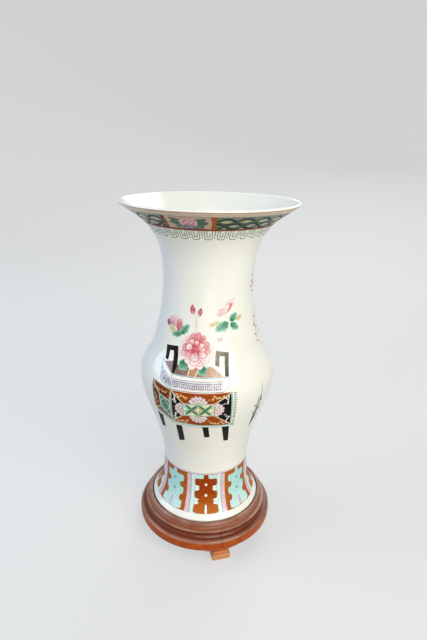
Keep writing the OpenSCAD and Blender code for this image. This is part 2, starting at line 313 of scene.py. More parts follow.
def through_nodes(mesh, make_tree, values):
    """Plain mesh that a geometry tree makes from a mesh and its named inputs."""
    name = make_tree.__name__
    tree = bpy.data.node_groups.get(name) or make_tree(name)
    holder = bpy.data.objects.new("holder", mesh)
    bpy.context.scene.collection.objects.link(holder)
    modifier = holder.modifiers.new("form", "NODES")
    modifier.node_group = tree
    for item in tree.interface.items_tree:
        if item.in_out == "INPUT" and item.name in values:
            modifier[item.identifier] = values[item.name]
    graph = bpy.context.evaluated_depsgraph_get()
    made = bpy.data.meshes.new_from_object(holder.evaluated_get(graph))
    holder.modifiers.clear()
    bpy.data.objects.remove(holder)
    bpy.data.meshes.remove(mesh)
    if not made.polygons:
        raise RuntimeError(f"{name} made no faces")
    return made


def keep_piece(name, mesh, body, slot, *replaced):
    """Keeps a finished mesh as a piece that rides on a body. The slot is not used."""
    mesh.name = name
    piece = bpy.data.objects.new(name, mesh)
    bpy.context.scene.collection.objects.link(piece)
    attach(piece, body)
    if replaced:
        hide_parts(*replaced)


def turned(profile, material, sides, start=0.0, sweep=math.tau, groove=0.0):
    """Closed mesh of a half-profile in millimetres, turned about the axis.

    A part turn gets end faces, and a groove wears their edges.
    """
    mesh = bpy.data.meshes.new("profile")
    mesh.from_pydata([(r * MM, 0, z * MM) for r, z in [*profile, profile[0]]], [], [])
    made = through_nodes(mesh, turned_form, {
        "Points": len(profile) + 1, "Segments": sides, "Start": start, "Sweep": sweep, "Material": material})
    bm = bmesh.new()
    bm.from_mesh(made)
    bmesh.ops.dissolve_degenerate(bm, dist=SLIVER, edges=bm.edges)
    open_edges = [e for e in bm.edges if e.is_boundary]
    if open_edges:
        ends = bmesh.ops.holes_fill(bm, edges=open_edges)["faces"]
        for face in ends:
            face.smooth = False
        if groove:
            rim = list({e for face in ends for e in face.edges})
            bmesh.ops.bevel(bm, geom=rim, offset=groove * MM, segments=1, affect="EDGES")
    bmesh.ops.recalc_face_normals(bm, faces=bm.faces)
    bm.to_mesh(made)
    bm.free()
    made.materials.clear()
    made.materials.append(material)
    made.polygons.foreach_set("material_index", [0] * len(made.polygons))
    made.set_sharp_from_angle(angle=SHARP_FORM)
    return made


def rounds(centre, half, start, end, steps=12):
    """Part of an ellipse about a centre, from one angle to another in degrees."""
    angles = [math.radians(start + (end - start) * i / steps) for i in range(steps + 1)]
    return [(centre[0] + half[0] * math.cos(a), centre[1] + half[1] * math.sin(a)) for a in angles]


class Wall:
    """Wall of the vase in millimetres: outer radius, slope and thickness at a height above the seat."""

    # Lines of the wall between foot edge and lip, and its slope at the foot edge, these lines and the lip.
    LINES = ("waist", "swell", "belly", "shoulder", "collar", "neck", "throat")
    SLOPES = (-0.85, 0, 0.34, 0, -0.64, -0.245, 0, 0.7, 1.43)
    # Spacing of the heights that are worked out, of the rings of a section, and of the two rings at its ends.
    STEP = 0.25
    RING = 2.0
    END_RING = 0.2

    def __init__(self, form):
        mm = in_mm(form)
        self.mm = mm
        lean = math.atan(self.SLOPES[-1])
        half = mm["lip_t"] / 2
        self.lean = math.degrees(lean)
        self.lip = (mm["mouth_r"] - half, mm["height"] - half)
        self.top = self.lip[1] - half * math.sin(lean)
        heights = [mm["foot_edge_h"], *(mm[name + "_h"] for name in self.LINES), self.top]
        radii = [mm["foot_r"], *(mm[name + "_r"] for name in self.LINES), self.lip[0] + half * math.cos(lean)]
        self.z = np.arange(heights[0], heights[-1], self.STEP)
        self.r = np.empty_like(self.z)
        self.slope = np.empty_like(self.z)
        for low, high, r0, r1, a, b in zip(
                heights, heights[1:], radii, radii[1:], self.SLOPES, self.SLOPES[1:]):
            span = (self.z >= low) & (self.z <= high)
            rise = high - low
            t = (self.z[span] - low) / rise
            u = 1 - t
            leans = rise * t * u * (u * a - t * b)
            self.r[span] = u * u * (1 + 2 * t) * r0 + t * t * (1 + 2 * u) * r1 + leans
            self.slope[span] = 6 * t * u * (r1 - r0) / rise + u * (1 - 3 * t) * a + t * (1 - 3 * u) * b

    def outer(self, z):
        """Outer radius at a height."""
        return np.interp(z, self.z, self.r)

    def inner(self, z):
        """Inner radius at a height."""
        foot, lip = self.mm["foot_wall"], self.mm["lip_t"]
        thick = foot + (lip - foot) * np.minimum(1, z / self.top)
        return self.outer(z) - thick * np.hypot(1, np.interp(z, self.z, self.slope))

    def line(self, low, high, radius):
        """Points up one side of a section; a ring close to each end lets its shading meet the next one's."""
        z = np.linspace(low, high, math.ceil((high - low) / self.RING) + 1)
        z = np.concatenate(([low, low + self.END_RING], z[1:-1], [high - self.END_RING, high]))
        return list(zip(radius(z), z))

    def wrap(self, points, lift):
        """Points in metres of flat painted points, lifted off the wall by a height in millimetres."""
        flat = np.asarray(points, float)
        slope = np.interp(flat[:, 1], self.z, self.slope)
        out = lift / np.hypot(1, slope)
        r = self.outer(flat[:, 1]) + out
        turn = flat[:, 0] / DRAW_R
        return np.c_[r * np.sin(turn), -r * np.cos(turn), flat[:, 1] - slope * out + SEAT / MM] * MM


def smooth(points, step=1.0):
    """Smooth line through given points."""
    p = np.asarray(points, float)
    last = len(p) - 1
    line = []
    for i in range(last):
        a, b, c, d = p[[max(i - 1, 0), i, i + 1, min(i + 2, last)]]
        square, cube = 2 * a - 5 * b + 4 * c - d, 3 * b - a - 3 * c + d
        parts = max(2, math.ceil(np.hypot(*(c - b)) / step))
        for t in np.arange(parts) / parts:
            line.append(0.5 * (2 * b + (c - a) * t + square * t ** 2 + cube * t ** 3))
    return np.array([*line, p[-1]])


def softened(points, times, share=0.2):
    """Closed outline with its corners cut to a round, as a brush leaves them."""
    p = np.asarray(points, float)
    for _ in range(times):
        after = np.roll(p, -1, axis=0)
        p = np.stack([p + (after - p) * share, after - (after - p) * share], 1).reshape(-1, 2)
    return p


def strip(points, width, taper=0.0, closed=False):
    """Points and triangles of a brush line; taper is the share of its width that it loses at the ends."""
    p = np.asarray(points, float)
    if closed:
        p = np.vstack([p, p[:1]])
    line = [p[:1]]
    for a, b in zip(p, p[1:]):
        parts = max(1, math.ceil(np.hypot(*(b - a)) / PAINT_STEP))
        line.append(a + (b - a) * (np.arange(1, parts + 1) / parts)[:, None])
    p = np.vstack(line)
    step = np.diff(p, axis=0)
    long = np.hypot(*step.T)
    way = step / long[:, None]
    before = np.vstack([way[-1:] if closed else way[:1], way])
    after = np.vstack([way, way[:1] if closed else way[-1:]])
    bend = before + after
    bend /= np.maximum(np.hypot(*bend.T), TINY)[:, None]
    side = np.c_[-bend[:, 1], bend[:, 0]]
    mitre = 1 / np.maximum(MITRE, side[:, 1] * before[:, 0] - side[:, 0] * before[:, 1])
    along = np.concatenate(([0], np.cumsum(long))) / long.sum()
    half = width / 2 * (1 - taper * (2 * along - 1) ** 2) * mitre
    if closed:
        p, side, half = p[:-1], side[:-1], half[:-1]
    n = len(p)
    lanes = max(1, math.ceil(width / PAINT_STEP))
    faces = []
    for lane in range(lanes):
        for i in range(n if closed else n - 1):
            a, b = lane * n + i, lane * n + (i + 1) % n
            faces += [(a + n, b + n, b), (a + n, b, a)]
    return np.vstack([p + side * half[:, None] * share for share in np.linspace(1, -1, lanes + 1)]), faces


def oval(x, z, half_x, half_z, turn=0.0, steps=20):
    """Outline of an oval, turned by degrees."""
    a = np.arange(steps) * math.tau / steps
    c, s = math.cos(math.radians(turn)), math.sin(math.radians(turn))
    u, v = half_x * np.cos(a), half_z * np.sin(a)
    return np.c_[x + u * c - v * s, z + u * s + v * c]


def tiles(outline):
    """Points and triangles that fill a flat outline, fine enough to follow the wall."""
    p = np.asarray(outline, float)
    edge = []
    for a, b in zip(p, np.roll(p, -1, axis=0)):
        parts = max(1, math.ceil(np.hypot(*(b - a)) / PAINT_STEP))
        edge += [a + (b - a) * i / parts for i in range(parts)]
    low, high = p.min(0), p.max(0)
    inner = []
    if min(high - low) > PAINT_STEP:
        lines = (np.arange(low[k] + PAINT_STEP / 2, high[k], PAINT_STEP) for k in (0, 1))
        grid = np.stack(np.meshgrid(*lines), -1).reshape(-1, 2)
        start = np.array(edge)
        end = np.roll(start, -1, axis=0)
        # A grid point is kept where a level line from it crosses the edge an odd number of times
        for q in grid:
            crosses = (start[:, 1] > q[1]) != (end[:, 1] > q[1])
            a, b = start[crosses], end[crosses]
            x = a[:, 0] + (q[1] - a[:, 1]) / (b[:, 1] - a[:, 1]) * (b[:, 0] - a[:, 0])
            if np.count_nonzero(x > q[0]) % 2 and np.hypot(*(start - q).T).min() > PAINT_EDGE:
                inner.append(q)
    n = len(edge)
    spots = [Vector(q) for q in [*edge, *inner]]
    sides = [(i, (i + 1) % n) for i in range(n)]
    flat, _, triangles, *_ = delaunay_2d_cdt(spots, sides, [], 1, PAINT_MERGE)
    flat = np.array([tuple(q) for q in flat])
    faces = []
    for a, b, c in triangles:
        area = np.cross(flat[b] - flat[a], flat[c] - flat[a])
        if abs(area) > TINY:
            faces.append((a, b, c) if area > 0 else (a, c, b))
    return flat, faces


class Painting:
    """Painted shapes on the vase, in the order of the brush. A later shape lies over those that it meets."""

    # In millimetres: height of the lowest layer over the wall and of each layer over the last, how a shape is
    # rooted in the wall, and the side of the squares of the wall in which the shapes are listed.
    LIFT = 0.05
    LAYER = 0.008
    ROOT = -0.1
    CELL = 2.0

    def __init__(self):
        self.shapes = []
        self.cover = {}
        self.pose()

    def pose(self, x=0.0, z=0.0, spread=1.0):
        """Moves the origin of what is drawn next; spread widens it where the wall is narrower than DRAW_R."""
        self.origin, self.scale = np.array((x, z)), np.array((spread, 1.0))

    def cells(self, spots):
        """Squares of the wall that some points lie in."""
        return {(x, z) for x, z in np.floor(spots / self.CELL).astype(int).tolist()}

    def over(self, spots):
        """First layer over the shapes that come near some points of the wall and reach into their box."""
        low, high = spots.min(0), spots.max(0)
        met = set().union(*(self.cover.get(cell, ()) for cell in self.cells(spots)))
        boxes = [(self.shapes[k][1].min(0), self.shapes[k][1].max(0), self.shapes[k][3]) for k in met]
        return 1 + max((level for a, b, level in boxes if np.all(a < high) and np.all(low < b)), default=-1)

    def lay(self, enamel, flat, faces, tint, level):
        """Keeps a shape and gives the layer that it lies in."""
        shade = tint(flat) if callable(tint) else np.full(len(flat), tint)
        spots = flat * self.scale + self.origin
        dense = np.vstack([spots, spots[np.array(faces)].mean(1)])
        if level is None:
            level = self.over(dense)
        for x, z in self.cells(dense):
            for i in (-1, 0, 1):
                for k in (-1, 0, 1):
                    self.cover.setdefault((x + i, z + k), set()).add(len(self.shapes))
        self.shapes.append((enamel, spots, faces, level, shade))
        return level

    def fill(self, enamel, outline, tint, level=None):
        """Lays an enamel inside an outline; tint is a number or a function of the points."""
        return self.lay(enamel, *tiles(outline), tint, level)

    def stroke(self, enamel, points, width, taper, tint, level=None):
        """Draws a brush line."""
        return self.lay(enamel, *strip(points, width, taper), tint, level)

    def trace(self, enamel, outline, width, tint, level=None):
        """Draws the outline of a closed shape."""
        return self.lay(enamel, *strip(outline, width, closed=True), tint, level)

    def meshes(self, wall):
        """One mesh of thin closed shells for each enamel."""
        parts = {}
        for enamel, flat, faces, level, shade in self.shapes:
            verts, polys, tints = parts.setdefault(enamel, ([], [], []))
            base, n = sum(len(v) for v in verts), len(flat)
            verts += [wall.wrap(flat, self.LIFT + self.LAYER * level), wall.wrap(flat, self.ROOT)]
            edges = {}
            for face in faces:
                polys.append([base + i for i in face])
                polys.append([base + n + i for i in reversed(face)])
                for a, b in zip(face, face[1:] + face[:1]):
                    edges[a, b] = True
            for a, b in edges:
                if (b, a) not in edges:
                    polys.append([base + a, base + n + a, base + n + b, base + b])
            tints += [shade, shade]
        made = {}
        for enamel, (verts, polys, tints) in parts.items():
            mesh = bpy.data.meshes.new(enamel)
            mesh.from_pydata(np.vstack(verts), [], polys)
            shades = mesh.attributes.new("tint", "FLOAT", "POINT")
            shades.data.foreach_set("value", np.concatenate(tints).astype(np.float32))
            made[enamel] = mesh
        return made


def across(a, b):
    """Unit direction at right angles to the way from one point to another."""
    way = np.asarray(b, float) - a
    return np.array((-way[1], way[0])) / np.hypot(*way)


def fade(start, end, first, last):
    """Tint that changes from one value at a start to another at an end."""
    a = np.asarray(start, float)
    way = np.asarray(end, float) - a
    return lambda p: np.clip(first + (last - first) * ((p - a) @ way) / (way @ way), 0, 1)


def blade(base, tip, width, full=0.85, lobes=0, bend=0.0):
    """Outline of a leaf or petal; full below 1 puts its widest part towards the base, lobes scallop it."""
    a, b = np.asarray(base, float), np.asarray(tip, float)
    side = across(a, b)
    t = np.linspace(0, 1, 17)
    half = width / 2 * np.sin(math.pi * t ** full) ** 0.7
    if lobes:
        half = half * (1 - 0.25 * np.abs(np.cos(math.pi * lobes * t)) ** 3)
    spine = a + (b - a) * t[:, None] + side * (bend * np.sin(math.pi * t))[:, None]
    return np.vstack([spine + side * half[:, None], (spine - side * half[:, None])[-2:0:-1]])


def draw_petal(art, base, tip, width, root, edge, full=1.6, bend=0.0, enamel="rose", line=None, level=None):
    """Petal that pales from its root to its edge, with a fine outline and veins of the tint of line."""
    line = root * 0.5 if line is None else line
    a, b = np.asarray(base, float), np.asarray(tip, float)
    way = b - a
    outline = blade(a, b, width, full, 0, bend)
    top = art.fill(enamel, outline, fade(a, b, root, edge), level) + 1
    art.trace(enamel, outline, width * 0.025 + 0.12, line, top)
    for lean in (-0.24, 0, 0.24):
        side = across(a, b) * width * lean
        vein = [a + way * 0.15, a + way * 0.5 + side * 0.7, a + way * 0.8 + side]
        art.stroke(enamel, vein, width * 0.025 + 0.1, 0.8, line, top)


def draw_leaf(art, base, tip, width, enamel="emerald", lobes=3):
    """Leaf with a scalloped pale edge, a dark heart and veins."""
    dark, vein = (0.1, "black") if enamel == "emerald" else (0.5, "mauve")
    a, b = np.asarray(base, float), np.asarray(tip, float)
    way = b - a
    side = across(a, b)
    art.fill(enamel, softened(blade(a, b, width, 0.85, lobes), 1), 0.95)
    heart = softened(blade(a + way * 0.04, a + way * 0.93, width * 0.74, 0.85, lobes), 1)
    top = art.fill(enamel, heart, fade(a, b, dark, 0.8)) + 1
    rib = [a + way * t for t in (0, 0.22, 0.45, 0.66, 0.95)]
    art.stroke(vein, smooth(rib), 0.45, 0.7, 0.4, top)
    for i in (1, 2, 3):
        for hand in (-1, 1):
            end = rib[i] + way * 0.16 + side * hand * width * (0.36 - 0.06 * i)
            art.stroke(vein, [rib[i], end], 0.3, 0.7, 0.5, top)


def draw_vine(art, enamel, points, reach):
    """Curling stem with leaflets on both sides and a curl at its end."""
    line = smooth(points, step=0.5)
    art.stroke(enamel, line, reach * 0.3, 0.5, 0.7)
    for k, share in enumerate((0.12, 0.3, 0.48, 0.66, 0.84)):
        i = int(share * (len(line) - 2))
        side = across(line[i], line[i + 1]) * (-1) ** k
        way = line[i + 1] - line[i]
        way = way / np.hypot(*way)
        art.fill(enamel, blade(line[i], line[i] + side * reach + way * reach * 0.8, reach * 0.65), 0.8)
    a = np.linspace(0, 4.6, 12)
    curl = reach * 0.7 * np.exp(-0.25 * a)
    spiral = np.c_[line[-1, 0] + curl * np.cos(a) - reach * 0.7, line[-1, 1] + curl * np.sin(a)]
    art.stroke(enamel, spiral, reach * 0.28, 0.4, 0.4)


def draw_half_lotus(art, x, z, reach, turn):
    """Half flower that fans out from an edge."""
    for ring, count, root, edge in ((1.0, 6, 1.4, 0.55), (0.58, 4, 1.3, 0.8)):
        for i in range(count):
            a = math.radians(turn - 84 + 168 * (i + 0.5) / count)
            tip = (x + reach * ring * math.cos(a), z + reach * ring * math.sin(a))
            outline = blade((x, z), tip, reach * ring * 0.5, 1.7)
            top = art.fill("pink", outline, fade((x, z), tip, root, edge)) + 1
            art.trace("black", outline, 0.4, 0.6, top)
    a = math.radians(turn)
    heart = oval(x + 0.12 * reach * math.cos(a), z + 0.12 * reach * math.sin(a), reach * 0.18, reach * 0.18)
    art.fill("leaf_yellow", heart, 0.4)


def draw_planter(art):
    """Oblong footed planter in oblique view, with a key fret on its collar and panels on its sides."""
    art.pose()
    # Legs, and handles that stand up behind the collar
    for leg in (
            [(-71.5, 168), (-62, 164.5), (-66.5, 141.5), (-75.5, 139.5)],
            [(-42, 156), (-32.5, 157), (-33, 128.5), (-43.5, 125.5)],
            [(-4, 159), (4, 159.5), (6.5, 140), (-1.5, 139)],
            [(22, 159.5), (32.5, 159), (37, 129), (29, 130)]):
        art.fill("black", leg, fade((0, 160), (0, 130), 0.0, 0.25))
    art.fill("mauve", [(-62, 243), (-48.5, 246), (-43, 232), (-43, 228)], 0.15)
    art.fill("black", [
        (-67.5, 262.5), (-45, 265), (-42, 250), (-38.5, 231), (-45, 231),
        (-51.5, 258), (-58.5, 257.2), (-57.5, 245), (-63.5, 246)], 0.1)
    art.fill("ink", [
        (13.5, 263.5), (33.5, 260), (28.5, 231), (23.5, 231),
        (26.5, 255.5), (19, 256.6), (17.5, 244), (12, 246)], fade((14, 252), (28, 238), 0.55, 0.0))
    # Earth, stalks and leaves inside
    earth = [(-42.5, 231), (-40, 243.5), (-22, 246), (-8, 246), (-4, 231)]
    art.fill("mauve", earth, fade((-40, 240), (-5, 240), 0.1, 0.35))
    art.fill("lip_brown", [(-22, 231), (-21, 244), (-11, 244), (-14.5, 231)], 0.0)
    slope = smooth([(-1, 244), (5, 245.5), (10, 244), (15, 240.5), (20, 236), (24, 231.5)])
    art.fill("lip_brown", [(-6, 231), (-3, 243), *slope], fade((-4, 240), (22, 234), 0.0, 0.5))
    art.stroke("white", slope, 1.8, 0.2, 0.4)
    for x, z in slope[::3]:
        art.stroke("emerald", [(x - 0.4, z - 0.3), (x + 0.6, z + 1.1)], 0.5, 0.4, 0.3)
        art.stroke("mauve", [(x - 2.4, z - 3.4), (x - 1.2, z - 1.6)], 0.5, 0.4, 0.2)
    for points in ([(-23, 231), (-22.5, 240), (-21.5, 252)], [(-14.4, 231), (-12, 237), (-9, 243)]):
        art.stroke("leaf_yellow", smooth(points), 1.6, 0.2, 1.0)
    for x, z, half, turn in ((-31.5, 245, 7.6, 20), (-5, 241, 6.4, -60)):
        for share, tint in ((1.0, 0.8), (0.8, fade((x, z - half), (x, z + half), 0.55, 0.0))):
            ring = oval(x, z, half * share, half * share * 0.9, turn, 35)
            lobed = 1 + 0.1 * np.cos(5 * np.arange(35) * math.tau / 35)
            art.fill("emerald", (x, z) + (ring - (x, z)) * lobed[:, None], tint)
        for lean in (20, 55, 90, 125, 160, 230, 310):
            a = math.radians(lean + turn)
            end = (x + half * 0.72 * math.cos(a), z + half * 0.62 * math.sin(a))
            art.stroke("black", [(x, z), end], 0.4, 0.6, 0.5)
    # Collar: left face, pale top band, lilac band with a key fret, blank right end
    for enamel, tint, outline in (
            ("lilac", 0.7, [(-67.5, 245.5), (-45, 231.5), (-42, 214), (-59.5, 222.5), (-64, 237.5)]),
            ("white", 0.5, [(-67.5, 245.5), (-45, 231.5), (-44, 226), (-65.5, 240.5)]),
            ("white", 0.5, [(-45, 232), (29.5, 232.4), (27.5, 222), (20, 215.5), (-42, 214)]),
            ("lilac", 0.8, [(-43, 226.5), (21, 227.6), (19.6, 217.4), (-41.4, 216.2)])):
        art.fill(enamel, outline, tint)
    key = np.array([
        (0, 0.8), (0, 8), (7.6, 8), (7.6, 1.6), (2.2, 1.6), (2.2, 5.8), (5.4, 5.8), (5.4, 3.7), (3.8, 3.7)])
    for i in range(6):
        art.stroke("lilac", key + (-41.2 + 10.2 * i, 217 + 0.1 * i), 0.85, 0, 0.0)
    for i in range(4):
        art.stroke("lilac", [
            (-62.5 + 5 * i, 236.5 - 3.1 * i), (-60.8 + 5 * i, 226.5 - 2.4 * i),
            (-58.4 + 5 * i, 226 - 2.7 * i), (-59.4 + 5 * i, 232 - 2.9 * i)], 0.9, 0, 0.0)
    for line in (
            [(-67.5, 245.5), (-45, 231.8), (29.5, 232.4)], [(-45, 231.8), (-42, 214)],
            [(-67.5, 245.5), (-64, 237.5), (-59.5, 222.5), (-42, 214)]):
        art.stroke("turquoise", line, 1.5, 0, 0.6)
        art.stroke("lilac", line, 0.5, 0, 0.0)
    art.stroke("lilac", [(-43.4, 227.2), (21.5, 228.4)], 0.6, 0, 0.0)
    art.stroke("lilac", [(29.5, 232.4), (27.5, 222), (20, 215)], 0.5, 0, 0.3)
    art.stroke("mauve", [(-42, 214.2), (20, 215.6)], 0.9, 0, 0.2)
    # Body: front face in four wedges round a panel, and a narrow left face round a panel of its own
    tl, tr, br, bl = front = [(-41.5, 213), (30.5, 214.5), (33.5, 162.5), (-44, 163.5)]
    ptl, ptr, pbr, pbl = panel = [(-26, 197), (9.5, 199), (10.5, 181), (-27.5, 178.5)]
    far_top, far_low = (-71, 219), (-71, 176)
    left = [far_top, tl, bl, far_low]
    left_panel = [(-59, 202), (-44.5, 196), (-45.6, 170.5), (-60, 181.5)]
    for enamel, tint, outline in (
            ("iron_red", 0.1, [tl, tr, ptr, ptl]), ("iron_red", 0.1, [bl, br, pbr, pbl]),
            ("black", 0.0, [tl, ptl, pbl, bl]), ("black", 0.0, [tr, br, pbr, ptr]),
            ("leaf_yellow", 1.0, panel), ("iron_red", 0.0, left), ("emerald", 0.3, left_panel)):
        art.fill(enamel, outline, tint)
    # Fine black shading on the left face, which turns away
    for i in range(9):
        share = (i + 0.5) / 9
        for start, end, width in (
                ((-70.6, 217 - 43 * share), (-59.5 + 0.5 * share, 205 - 25 * share), 1.5),
                ((-68 + 24 * share, 216.5 - 5.5 * share), (-58.5 + 10 * share, 203 - 4 * share), 1.0),
                ((-69 + 24 * share, 175.5 - 12 * share), (-60 + 11 * share, 180 - 6 * share), 1.2)):
            art.stroke("black", [start, end], width, 0.5, 0.1)
    for i in range(5):
        art.stroke("emerald", [(-58.8, 199 - 3.4 * i), (-45.4, 193 - 4.6 * i)], 1.9, 0, 0.0)
    art.trace("white", [(-51.5, 199), (-58.6, 191), (-53, 176.5), (-45.6, 184)], 0.6, 0.6)
    for points in (
            [(-69.5, 213), (-66, 209), (-62, 210.5), (-58, 206)], [(-57, 209), (-52, 207), (-47, 208)],
            [(-69, 201), (-65.5, 196), (-67.5, 190), (-64.5, 185)],
            [(-67, 179), (-61, 176.5), (-54, 171.5), (-48, 169)]):
        draw_vine(art, "gold", points, 1.9)
    # Lattice of the front panel
    x, z = -8.3, 188.9
    for u, enamel, tint in ((-15.5, "emerald", 1.0), (0, "leaf_yellow", 0.35), (15.5, "leaf_yellow", 0.55)):
        art.fill(enamel, oval(x + u, z, 3.8, 5.6, 0, 12), tint)
        art.fill("white", oval(x + u - 0.6, z + 0.6, 1.7, 2, 0, 8), 0.6)
    for u in (-8, 8):
        for lean in (-1, 1):
            bar = [(x + u - lean * 7.4, z - 8.4), (x + u + lean * 7.4, z + 8.4)]
            art.stroke("fret_green", bar, 4.2, 0.3, 0.4)
            art.stroke("emerald", bar, 2.2, 0.6, 0.1)
    # Edges of the panels and lines from their corners, half lotuses and scrolls
    for inner, outer in ((panel, front), (left_panel, left)):
        art.trace("turquoise", inner, 1.5, 0.7)
        art.trace("black", inner, 0.3, 0.8)
        for line in zip(inner, outer):
            art.stroke("leaf_yellow", line, 1.5, 0, 0.95)
            art.stroke("black", line, 0.3, 0, 0.8)
    for x, z, reach, turn in (
            (-8.5, 199, 12, 90), (-8.5, 179, 12, -90), (-27.5, 187.5, 11, 180), (11, 190, 12, 0)):
        draw_half_lotus(art, x, z, reach, turn)
    for enamel, reach, points in (
            ("gold", 2.6, [(-36, 210.5), (-31, 206.5), (-26, 208.5), (-22, 204)]),
            ("gold", 2.6, [(22, 211.5), (17, 207.5), (11, 209.5), (6, 205)]),
            ("gold", 2.6, [(-38, 163.5), (-32, 168), (-26, 165.5), (-21, 170)]),
            ("gold", 2.6, [(26, 163.5), (20, 168.5), (13, 165.5), (6, 170.5)]),
            ("white", 2.3, [(-39, 208), (-36.5, 204), (-38.5, 200), (-35.5, 196.5)]),
            ("white", 2.3, [(-41, 167), (-38, 171), (-39.5, 175), (-36, 179)]),
            ("white", 2.3, [(28, 210.5), (24, 207), (27, 202), (23.5, 198)]),
            ("white", 2.3, [(30, 166), (26, 170), (29, 175), (25, 181)])):
        draw_vine(art, enamel, points, reach)
    for width, line in (
            (1.1, [far_top, tl]), (1.7, [tr, br]), (1.4, [tl, bl]), (1.1, [far_top, far_low, bl])):
        art.stroke("turquoise", line, width, 0, 0.6)
        art.stroke("black", line, 0.5, 0, 0.4)
    # Base strip and the stippled fringe of the right edge
    foot = smooth([(-71.5, 174.5), (-58, 167), (-44.5, 161.8), (-20, 160.8), (5, 161.4), (35, 160)])
    art.stroke("turquoise", foot, 3.6, 0, 0.8)
    art.stroke("emerald", foot + (0, 1.5), 0.8, 0, 0.5)
    art.stroke("black", foot - (0, 1.7), 0.4, 0, 0.6)
    for i in range(22):
        x, z = 32.6 + 0.12 * i, 213.4 - 2.55 * i
        art.stroke("emerald", [(x, z), (x + 4, z - 1)], 0.9, 0.4, 0.1)


def draw_peony(art):
    """Full-blown peony over the planter: rings of petals round a coral heart, and paler petals in front."""
    art.pose(-15.5, 265.5, 1.18)
    level = art.over(tiles(oval(0, 0, 25, 25))[0] * art.scale + art.origin)
    # Rings from the back to the front: enamel, first turn in degrees, petals, where they start, how far they
    # reach, their width, their tint at the root, at the edge and in their lines, and how uneven they are
    for enamel, turn, count, inner, reach, width, root, edge, line, uneven in (
            ("rose", 6, 14, 8, 21.5, 9.5, 0.1, 1.2, 0.75, 0.07),
            ("rose", 21, 12, 6, 18, 8.5, 0.0, 0.75, 0.3, 0.1),
            ("coral", 0, 10, 3, 14.5, 8.0, 0.0, 0.45, 0.0, 0.1)):
        for i in range(count):
            a = math.radians(turn + 360 * i / count)
            way = np.array((math.cos(a), math.sin(a)))
            hang = 1 + uneven * math.sin(4.1 * i + turn) - 0.06 * math.sin(a) + 0.07 * math.cos(4 * a)
            base, tip = way * inner - (0.8, 1.2), way * reach * hang - (0.8, 1.2)
            bend = 1.2 * math.sin(2.3 * i + turn)
            pale = edge + (0.4 * max(0, -math.sin(a)) - 0.2 * max(0, math.sin(a)))
            art.fill(enamel, blade(base, tip + way * 0.4, width + 1.0, 1.5, 0, bend), line, level)
            top = level + 1 + 2 * (i % 2)
            draw_petal(art, base, tip, width, root, pale, 1.5, bend, enamel, line, top)
        # Each ring takes a layer of shadow, then two layers for every second petal and two for the others
        level += 5
    art.fill("coral", oval(-0.8, -1.2, 7, 7), 0.1, level - 5)
    # Petals in front, in threes that lie clear of each other: enamel, root, tip, width, tint at the tip and
    # in the lines
    for i, (enamel, base, tip, width, edge, line) in enumerate((
            ("coral", (-2, 8), (-4.5, 18.5), 6.5, 0.5, 0.0), ("coral", (1.5, 8), (2.5, 20), 6.5, 0.5, 0.0),
            ("coral", (5, 7), (9, 16.5), 6.5, 0.4, 0.0), ("rose", (-1, -12), (-1.5, -21), 9, 1.4, 0.6),
            ("rose", (4, -9), (16.5, -15.5), 9.5, 1.3, 0.6), ("rose", (13, -3), (21.5, -10), 7.5, 1.4, 0.6),
            ("rose", (0, -4), (-1.5, -16), 9.5, 1.1, 0.2), ("coral", (3, -4.5), (12.5, -9.5), 7, 1.3, 0.0),
            ("coral", (9, 0), (14, 8), 6, 0.6, 0.0), ("coral", (10, -1), (17, -4.5), 5.5, 0.7, 0.0),
            ("coral", (-4.5, -1), (-13, 3), 9, 1.4, 0.0), ("coral", (-4, 4), (-7, 11), 5, 1.3, 0.0),
            ("coral", (1.5, 0), (11.5, -1.5), 5.5, 0.9, 0.0), ("coral", (1.5, 3), (-0.5, 9.5), 5.5, 1.1, 0.0),
            ("coral", (2.5, 1.5), (9.5, 5.5), 5.5, 1.5, 0.0))):
        top = level + 3 * (i // 3)
        base, tip = np.array(base, float), np.array(tip, float)
        art.fill(enamel, blade(base, tip + (tip - base) * 0.04, width + 1.0, 1.5), line, top)
        draw_petal(art, base, tip, width, 0.35 * edge, edge, 1.5, 0.0, enamel, line, top + 1)


